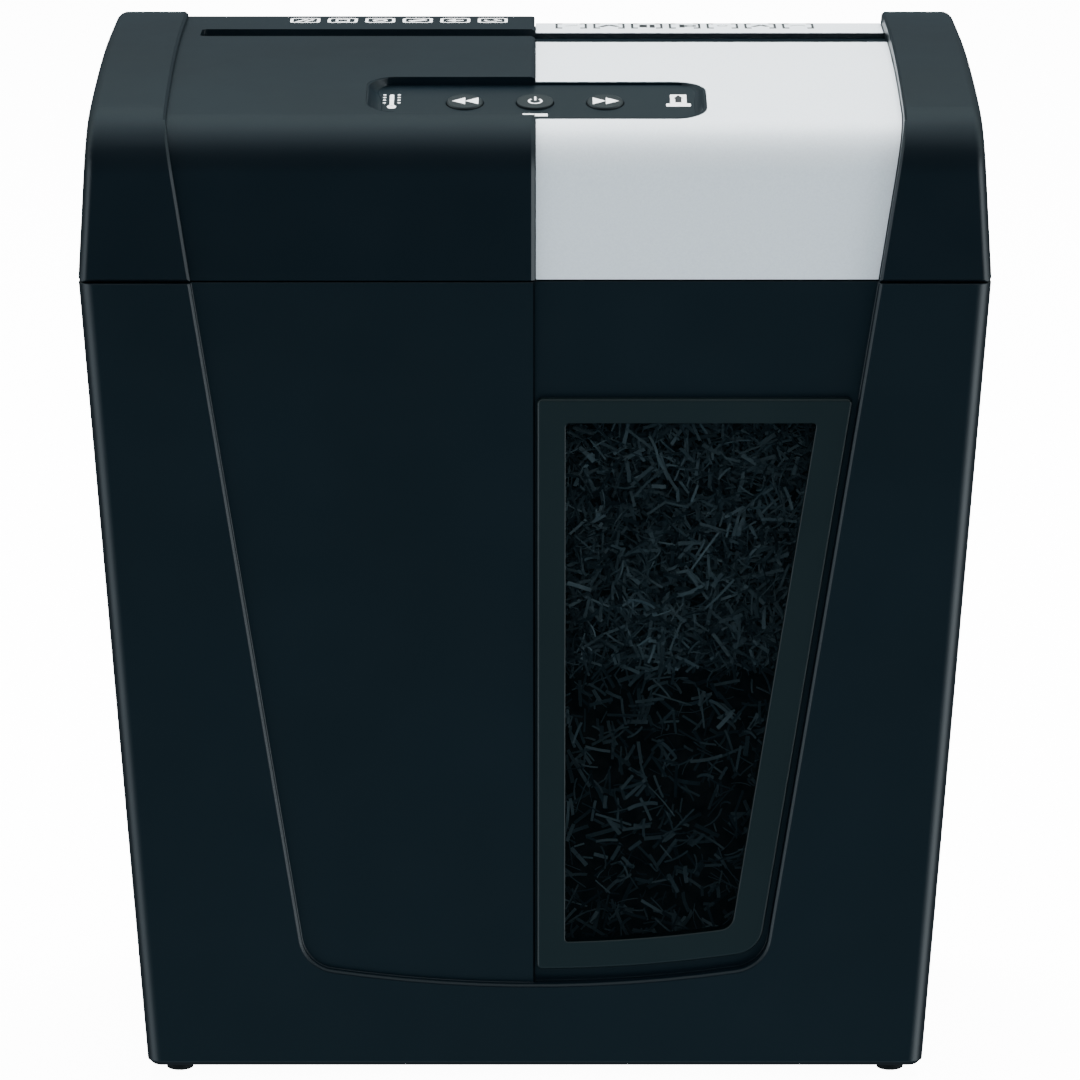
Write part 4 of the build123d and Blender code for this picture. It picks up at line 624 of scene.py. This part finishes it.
def roundedRect(x, y, width, height, radius, perSide=8, perCorner=5):
    loops = []
    for turn, (sx, sy) in enumerate(((1, -1), (1, 1), (-1, 1), (-1, -1))):
        start = (turn - 1) * math.pi / 2
        loops.append(arcPoints(
            x + sx * (width / 2 - radius), y + sy * (height / 2 - radius), radius, start, start + math.pi / 2,
            perCorner))
    sides = []
    for here, there in zip(loops, loops[1:] + loops[:1]):
        share = np.linspace(0.0, 1.0, perSide + 2)[1:-1, None]
        sides += [here, here[-1] + share * (there[0] - here[-1])]
    return np.concatenate(sides)


def solidInk(loop):
    return loop, None


def frameInk(x, y, width, height, radius, stroke):
    innerRound = max(radius - stroke, ink["leastRound"])
    outer = roundedRect(x, y, width, height, radius)
    return outer, roundedRect(x, y, width - 2 * stroke, height - 2 * stroke, innerRound)


def circle(x, y, radius):
    return arcPoints(x, y, radius, 0.0, 2 * math.pi, ink["circlePoints"])[:-1]


def ringInk(x, y, radius, stroke):
    return circle(x, y, radius), circle(x, y, radius - stroke)


def arcInk(x, y, radius, stroke, start, end):
    start, end, count = math.radians(start), math.radians(end), ink["arcPoints"]
    outer = arcPoints(x, y, radius, start, end, count)
    inner = arcPoints(x, y, radius - stroke, end, start, count)
    return solidInk(np.concatenate([outer, inner]))


def barInk(x, y, width, height, radius=0.1):
    most = min(width, height) / ink["cornerShare"]
    return solidInk(roundedRect(x, y, width, height, min(radius, most)))


def polygonInk(*corners):
    return solidInk(np.array(corners))


# A slanting stroke between two places
def strokeInk(x0, y0, x1, y1, width):
    run = np.array([x1 - x0, y1 - y0])
    across = np.array([-run[1], run[0]]) / np.hypot(*run) * width / 2
    start, end = np.array([x0, y0]), np.array([x1, y1])
    return solidInk(np.stack([start - across, end - across, end + across, start + across]))


# A shape drawn about its own centre, moved to its place
def moveInk(shape, x, y):
    outer, inner = shape
    shift = np.array([x, y])
    return outer + shift, None if inner is None else inner + shift


def printPiece(name, shapes, place, body, slot, material):
    points, faces, first = [], [], 0
    for outer, inner in shapes:
        count = len(outer)
        index = np.arange(count)
        after = np.roll(index, -1)
        loops = [place(outer, ink["thick"]), place(outer, -ink["sunk"])]
        if inner is None:
            faces += [(first + index).tolist(), (first + count + index[::-1]).tolist()]
            bands = [(0, 1)]
        else:
            loops += [place(inner, -ink["sunk"]), place(inner, ink["thick"])]
            bands = [(0, 1), (1, 2), (2, 3), (3, 0)]
        for a, b in bands:
            corners = [a * count + index, a * count + after, b * count + after, b * count + index]
            quads = np.stack(corners, axis=-1)
            faces += (first + quads).tolist()
        points += loops
        first += count * len(loops)
    placePiece(name, closedMesh(name, np.concatenate(points), faces), body, slot, material)


# Control deck: x across, y up its tilted face, from the middle of the face
deck = {"y": -43.2, "z": 312.452, "tilt": math.radians(13.0), "keyProud": 0.7}


def onDeck(proud):
    def place(loop, lift):
        x, v = loop[:, 0], loop[:, 1]
        rise = proud + lift
        y = deck["y"] + v * math.cos(deck["tilt"]) - rise * math.sin(deck["tilt"])
        z = deck["z"] + v * math.sin(deck["tilt"]) + rise * math.cos(deck["tilt"])
        return np.stack([x, y, z], axis=-1) * mm
    return place


def doubleArrow(x, y, way, width, height):
    half = width / 2
    tips = []
    for start in (-half, 0.0):
        tail, tip = (x + start, x + start + half) if way > 0 else (x + start + half, x + start)
        tips.append(polygonInk((tail, y - height / 2), (tip, y), (tail, y + height / 2)))
    return tips


# Deck signs: a thermometer between rays on the left, a lifted lid on the right
heatSign = {
    "x": -45.3, "stem": (-1.0, 8.4), "stemWidth": 1.3, "stemRound": 0.5, "bulb": (-1.7, 1.45),
    "rays": (8.2, 6.0, 3.8, 1.6), "reach": 2.3, "ray": (1.0, 0.75), "rayRound": 0.3,
}
lidSign = {
    "x": 45.4, "lid": {"y": 4.7, "width": 5.2, "height": 7.4, "radius": 0.3},
    "rim": {"y": -0.2, "width": 7.8, "height": 2.5, "radius": 0.4},
    "arrow": {"tip": 7.9, "barb": 5.2, "tail": 1.9, "barbHalf": 1.5, "tailHalf": 1.0},
}


def deckPrints():
    x, (low, high), (bulbAt, bulbRadius) = heatSign["x"], heatSign["stem"], heatSign["bulb"]
    shapes = [
        barInk(x, (low + high) / 2, heatSign["stemWidth"], high - low, heatSign["stemRound"]),
        solidInk(circle(x, bulbAt, bulbRadius)),
    ]
    for side in (-1, 1):
        for v in heatSign["rays"]:
            shapes.append(barInk(x + side * heatSign["reach"], v, *heatSign["ray"], heatSign["rayRound"]))
    x, arrow = lidSign["x"], lidSign["arrow"]
    shapes += [barInk(x, **lidSign[part]) for part in ("lid", "rim")]
    printPiece("deck_prints", shapes, onDeck(0.0), "head", "lens_plastic", whiteInk)
    tip, barb, tail = arrow["tip"], arrow["barb"], arrow["tail"]
    wide, narrow = arrow["barbHalf"], arrow["tailHalf"]
    pointer = polygonInk(
        (x, tip), (x - wide, barb), (x - narrow, barb), (x - narrow, tail), (x + narrow, tail),
        (x + narrow, barb), (x + wide, barb))
    printPiece("deck_arrow", [pointer], onDeck(ink["thick"]), "head", "black_plastic", darkInk)


# Key signs: double arrows on the outer keys, a broken ring with a bar on the middle one
keySigns = {
    "reverse": -22.05, "forward": 22.45, "arrows": {"y": 1.55, "width": 8.3, "height": 5.5},
    "power": {"x": 0.1, "y": 1.4, "radius": 2.3, "stroke": 0.62, "start": 128.0, "end": 412.0},
    "bar": {"x": 0.1, "y": 3.5, "width": 0.62, "height": 3.2, "radius": 0.2},
}


def keyPrints():
    proud = onDeck(deck["keyProud"])
    rewind = doubleArrow(keySigns["reverse"], way=-1, **keySigns["arrows"])
    forward = doubleArrow(keySigns["forward"], way=1, **keySigns["arrows"])
    power = [arcInk(**keySigns["power"]), barInk(**keySigns["bar"])]
    printPiece("reverse_print", rewind, proud, "reverse_key", "lens_plastic", whiteInk)
    printPiece("power_print", power, proud, "power_key", "lens_plastic", whiteInk)
    printPiece("forward_print", forward, proud, "forward_key", "lens_plastic", whiteInk)


# Rows of small signs behind the slot: level, then following the round of the rear edge
signRows = {
    "left": {
        "level": 323.0, "rearRound": 8.08, "first": -76.25, "pitch": 12.45, "count": 6, "width": 9.9,
        "centre": 65.6, "height": 10.0, "corner": 1.8, "stroke": 1.0},
    "right": {
        "level": 321.0, "rearRound": 6.48, "first": 12.05, "pitch": 12.55, "count": 7, "width": 10.1,
        "centre": 66.8, "height": 11.8, "edgeIn": 0.2, "edge": 0.8, "tick": (1.6, 2.2), "tickIn": (0.3, 1.1)},
    "rear": 79.0,
}


def onTop(row):
    def place(loop, lift):
        past = np.maximum(loop[:, 1] - (signRows["rear"] - row["rearRound"]), 0.0)
        z = row["level"] - row["rearRound"] + np.sqrt(row["rearRound"] ** 2 - past**2) + lift
        return np.stack([loop[:, 0], loop[:, 1], z], axis=-1) * mm
    return place


def signPlaces(row):
    return row["first"] + row["pitch"] * np.arange(row["count"])


# Plain signs drawn about the middle of their frames, by the frame's number in its row
leftMarks = {
    0: [strokeInk(-2.8, -2.8, 0.6, 2.6, 1.1), strokeInk(0.2, -2.4, 2.8, 2.0, 1.1)],
    1: [frameInk(0.0, 0.0, 4.6, 5.6, 0.5, 0.8)],
    2: [ringInk(0.0, 0.0, 2.5, 1.0)],
    3: [strokeInk(-2.6, -1.6, 2.6, 1.6, 2.4)],
    4: [polygonInk((-2.8, 0.0), (0.2, -2.8), (0.2, 2.8)), barInk(1.5, 0.0, 2.4, 1.6)],
    5: [arcInk(-0.4, 0.0, 2.5, 0.9, 150.0, 330.0), strokeInk(0.6, 2.0, 2.8, -1.0, 1.0)],
}
rightMarks = {
    1: [strokeInk(-2.9, -2.2, 0.0, 2.0, 1.9), strokeInk(0.0, 2.0, 2.9, -1.6, 1.9)],
    2: [barInk(-1.2, -0.4, 2.6, 6.0), barInk(1.8, -0.8, 1.7, 7.0)],
    3: [barInk(-0.9, -0.4, 1.7, 6.8), ringInk(1.8, -0.2, 2.2, 1.1)],
    5: [strokeInk(-2.5, -1.8, 0.4, 1.8, 1.7), strokeInk(0.4, 1.8, 2.5, -1.4, 1.7)],
}
faintMarks = {
    0: [strokeInk(-1.8, -0.4, 2.0, 1.2, 0.9)],
    4: [ringInk(0.0, 0.2, 1.8, 0.6)],
    6: [arcInk(0.0, -1.4, 2.9, 0.8, 20.0, 160.0)],
}


def rowMarks(marks, row):
    places = signPlaces(row)
    return [moveInk(shape, places[number], row["centre"]) for number in marks for shape in marks[number]]


# White frames with a sign in each
def leftSigns():
    row = signRows["left"]
    size = row["width"], row["height"], row["corner"], row["stroke"]
    frames = [frameInk(x, row["centre"], *size) for x in signPlaces(row)]
    shapes = frames + rowMarks(leftMarks, row)
    printPiece("left_signs", shapes, onTop(row), "head", "lens_plastic", whiteInk)


# Dark brackets with a sign in each, three of the signs only faintly printed
def rightSigns():
    row = signRows["right"]
    y, height = row["centre"], row["height"]
    (tickWide, tickHigh), (inX, inY) = row["tick"], row["tickIn"]
    brackets = []
    for x in signPlaces(row):
        for side in (-1, 1):
            edge = x + side * (row["width"] / 2 - row["edgeIn"])
            tick = edge - side * (tickWide / 2 + inX)
            brackets += [barInk(edge, y, row["edge"], height)]
            brackets += [barInk(tick, y + end * (height / 2 - inY), tickWide, tickHigh) for end in (-1, 1)]
    shapes = brackets + rowMarks(rightMarks, row)
    printPiece("right_signs", shapes, onTop(row), "head", "black_plastic", darkInk)
    printPiece("faint_signs", rowMarks(faintMarks, row), onTop(row), "head", "black_plastic", greyInk)


# Cover skin in front of the slot: an arc about a low centre, one radius for each half
crown = {"y": 35.0, "z": -145.743, "left": 468.743, "right": 466.743}


def crownHeight(y, half):
    return crown["z"] + np.sqrt(crown[half] ** 2 - (y - crown["y"]) ** 2)


# The light pipe's left part shows as a thin line over the edge of the higher half
lensBar = {"x": -2.0, "y": -62.8, "width": 3.7, "height": 0.9, "radius": 0.3}


def lensLine():
    def place(loop, lift):
        return np.stack([loop[:, 0], loop[:, 1], crownHeight(loop[:, 1], "left") + lift], axis=-1) * mm
    printPiece("lens_line", [barInk(**lensBar)], place, "head", "lens_plastic", whiteInk)


# Deck ends: a hollow ramp carried round each end of the pocket, from the skin down to the deck;
# the path is a quarter turn, a straight and another quarter turn, and the ramp is widest half way along it
deckEnds = {
    "half": 53.1, "rise": 16.9, "corner": 8.9, "left": 4.8, "right": 2.6, "least": 0.15,
    "start": math.radians(16.0), "steps": 49, "across": 9, "hollow": 1.8,
    "underSkin": 0.05, "overDeck": 0.02, "sunk": 0.03,
}


def deckEnd(name, side, half):
    steps, corner, across = deckEnds["steps"], deckEnds["corner"], deckEnds["across"]
    quarter = np.pi / 2 * corner
    straight = 2 * (deckEnds["rise"] - corner)
    run = np.linspace(deckEnds["start"] * corner, 2 * quarter + straight, steps)
    first = np.minimum(run, quarter)
    second = np.clip(run - quarter, 0.0, straight)
    third = np.maximum(run - quarter - straight, 0.0)
    turn = (first + third) / corner
    outX, outV = np.sin(turn), np.cos(turn)
    pathX = deckEnds["half"] - corner + corner * outX
    pathV = deckEnds["rise"] - corner - second + corner * outV
    width = deckEnds["least"] + deckEnds[half] * np.sin(np.pi * np.linspace(0.0, 1.0, steps))
    y = deck["y"] + pathV * math.cos(deck["tilt"])
    height = crownHeight(y, half) - deck["z"] - pathV * math.sin(deck["tilt"])
    share = np.linspace(0.0, 1.0, across)
    inward = np.concatenate([share, [1.0, 0.0]]) * width[:, None]
    level = np.concatenate([(1 - share) ** deckEnds["hollow"], [0.0, 0.0]])
    under = np.concatenate([np.zeros(across), [deckEnds["sunk"]] * 2])
    x = side * (pathX[:, None] - outX[:, None] * inward)
    v = pathV[:, None] - outV[:, None] * inward
    rise = (height[:, None] - deckEnds["underSkin"]) * level - under + deckEnds["overDeck"]
    points = onDeck(0.0)(np.stack([x.ravel(), v.ravel()], axis=-1), rise.ravel())
    columns = len(level)
    faces = rowFaces(steps, columns, False) + endFaces(steps, columns)
    mesh = closedMesh(name, points, faces)
    mesh.polygons.foreach_set("use_smooth", np.ones(len(mesh.polygons), dtype=bool))
    placePiece(name, mesh, "head", "black_plastic", finishes["black_plastic"])


deckPrints()
lensLine()
deckEnd("deck_end_left", -1, "left")
deckEnd("deck_end_right", 1, "right")
keyPrints()
leftSigns()
rightSigns()
print("prints")


# Stage: a near white floor in a surround that looks white behind the object,
# while the surfaces see a ceiling of light and two side panels in it
stage = {
    "floorSize": 12.0,
    "floorColour": (0.88, 0.88, 0.88),
    "floorDrift": 3.0,
    "floorSpread": 0.02,
    "floorRoughness": 0.9,
    "floorGlow": 12.0,
    "background": 16.0,
}
# What the surround sends back, by the angle round the x axis: degrees from the rear horizon, up and over
ceiling = {
    "strength": 1.2,
    "stops": [
        (-180, (0.0, 0.0, 0.01)), (-165, (0.02, 0.07, 0.1)), (-150, (0.2, 0.37, 0.48)),
        (-130, (0.5, 0.76, 0.9)), (-105, (0.3, 0.42, 0.5)), (-80, (0.08, 0.1, 0.12)),
        (0, (0.08, 0.09, 0.1)), (23, (0.16, 0.17, 0.16)), (41, (0.38, 0.42, 0.4)),
        (62, (0.7, 0.82, 0.82)), (76, (0.8, 0.98, 0.98)), (92, (0.78, 0.92, 0.96)),
        (110, (0.6, 0.7, 0.74)), (126, (0.25, 0.3, 0.34)), (142, (0.0, 0.0, 0.0)), (180, (0.0, 0.0, 0.01)),
    ],
}
sidePanels = {
    "left": {"toward": (-0.87, -0.45, -0.18), "start": 0.86, "end": 0.98, "colour": (2.0, 2.3, 2.5)},
    "right": {"toward": (0.87, -0.45, -0.18), "start": 0.86, "end": 0.98, "colour": (3.5, 3.9, 4.1)},
}


def paleFloor():
    half = stage["floorSize"] / 2
    mesh = bpy.data.meshes.new("floor")
    corners = [(-half, -half, 0), (half, -half, 0), (half, half, 0), (-half, half, 0)]
    mesh.from_pydata(corners, [], [(0, 1, 2, 3)])
    floor = bpy.data.objects.new("floor", mesh)
    bpy.context.scene.collection.objects.link(floor)
    material, tree, shader = newFinish("floorPaper")
    low = stage["floorColour"]
    high = tuple(c + stage["floorSpread"] for c in low)
    drift = objectNoise(tree, stage["floorDrift"])
    tree.links.new(colourRange(tree, drift, low, high), shader.inputs["Base Color"])
    shader.inputs["Roughness"].default_value = stage["floorRoughness"]
    shader.inputs["Emission Color"].default_value = (1.0, 1.0, 1.0, 1.0)
    shader.inputs["Emission Strength"].default_value = stage["floorGlow"]
    mesh.materials.append(material)
    floor.visible_glossy = False
    floor.visible_diffuse = False


def studioWorld():
    world = bpy.data.worlds.new("studio")
    bpy.context.scene.world = world
    world.use_nodes = True
    tree = world.node_tree
    place = addNode(tree, "ShaderNodeTexCoord")
    split = addNode(tree, "ShaderNodeSeparateXYZ")
    tree.links.new(place.outputs["Generated"], split.inputs["Vector"])
    angle = addNode(tree, "ShaderNodeMath", operation="ARCTAN2")
    tree.links.new(split.outputs["Z"], angle.inputs[0])
    tree.links.new(split.outputs["Y"], angle.inputs[1])
    turn = addNode(tree, "ShaderNodeMapRange")
    turn.inputs["From Min"].default_value = -math.pi
    turn.inputs["From Max"].default_value = math.pi
    tree.links.new(angle.outputs["Value"], turn.inputs["Value"])
    ramp = addNode(tree, "ShaderNodeValToRGB")
    stops = ramp.color_ramp.elements
    while len(stops) < len(ceiling["stops"]):
        stops.new(0.5)
    for stop, (degrees, colour) in zip(stops, ceiling["stops"]):
        stop.position = (degrees + 180.0) / 360.0
        stop.color = (*colour, 1.0)
    tree.links.new(turn.outputs["Result"], ramp.inputs["Fac"])
    shade = tree.nodes["Background"]
    shade.inputs["Strength"].default_value = ceiling["strength"]
    tree.links.new(ramp.outputs["Color"], shade.inputs["Color"])
    surround = shade.outputs["Background"]
    for panel in sidePanels.values():
        reach = addNode(tree, "ShaderNodeVectorMath", operation="DOT_PRODUCT")
        reach.inputs[1].default_value = unit(np.array(panel["toward"]))
        tree.links.new(place.outputs["Generated"], reach.inputs[0])
        cover = addNode(tree, "ShaderNodeMapRange", interpolation_type="SMOOTHSTEP")
        cover.inputs["From Min"].default_value = panel["start"]
        cover.inputs["From Max"].default_value = panel["end"]
        tree.links.new(reach.outputs["Value"], cover.inputs["Value"])
        glow = addNode(tree, "ShaderNodeBackground", Color=(*panel["colour"], 1.0))
        over = addNode(tree, "ShaderNodeMixShader")
        tree.links.new(cover.outputs["Result"], over.inputs["Fac"])
        tree.links.new(surround, over.inputs[1])
        tree.links.new(glow.outputs["Background"], over.inputs[2])
        surround = over.outputs["Shader"]
    seen = addNode(tree, "ShaderNodeLightPath")
    plain = addNode(tree, "ShaderNodeBackground", Color=(1.0, 1.0, 1.0, 1.0), Strength=stage["background"])
    pick = addNode(tree, "ShaderNodeMixShader")
    tree.links.new(seen.outputs["Is Camera Ray"], pick.inputs["Fac"])
    tree.links.new(surround, pick.inputs[1])
    tree.links.new(plain.outputs["Background"], pick.inputs[2])
    tree.links.new(pick.outputs["Shader"], tree.nodes["World Output"].inputs["Surface"])


lamps = {
    "overhead": {"at": (0.0, 0.7, 1.7), "aim": (0.0, 0.0, 0.3), "size": (1.6, 1.0), "watts": 100.0},
    "frontFill": {"at": (0.0, -2.2, 1.3), "aim": (0.0, 0.0, 0.2), "size": (2.4, 1.6), "watts": 35.0},
    "leftEdge": {"at": (-1.6, -0.5, 0.8), "aim": (0.0, 0.0, 0.2), "size": (0.7, 1.4), "watts": 12.0},
    "rightEdge": {"at": (1.6, -0.5, 0.8), "aim": (0.0, 0.0, 0.2), "size": (0.7, 1.4), "watts": 16.0},
    "rearFill": {"at": (0.0, 2.4, 1.0), "aim": (0.0, 0.0, 0.2), "size": (2.4, 1.2), "watts": 26.0},
}


def softLamp(name, lamp):
    light = bpy.data.lights.new(name, "AREA")
    light.shape = "RECTANGLE"
    light.size, light.size_y = lamp["size"]
    light.energy = lamp["watts"]
    holder = bpy.data.objects.new(name, light)
    bpy.context.scene.collection.objects.link(holder)
    toAim = np.subtract(lamp["aim"], lamp["at"])
    holder.location = lamp["at"]
    holder.rotation_euler = (
        math.atan2(math.hypot(toAim[0], toAim[1]), -toAim[2]), 0.0, math.atan2(-toAim[0], toAim[1]))
    holder.visible_glossy = False


view = {
    "at": (0.0, -2.07559, 0.64416),
    "pitch": 13.1,
    "lens": 216.67,
    "sensor": 36.0,
    "shift": 0.0047,
    "clipEnd": 50.0,
}


def photoCamera():
    camera = bpy.data.cameras.new("camera")
    camera.sensor_width = view["sensor"]
    camera.lens = view["lens"]
    camera.shift_x = view["shift"]
    camera.clip_end = view["clipEnd"]
    holder = bpy.data.objects.new("camera", camera)
    bpy.context.scene.collection.objects.link(holder)
    holder.location = view["at"]
    holder.rotation_euler = (math.radians(90.0 - view["pitch"]), 0.0, 0.0)
    bpy.context.scene.camera = holder


paleFloor()
studioWorld()
for name, lamp in lamps.items():
    softLamp(name, lamp)
photoCamera()
print("stage, lamps and camera")
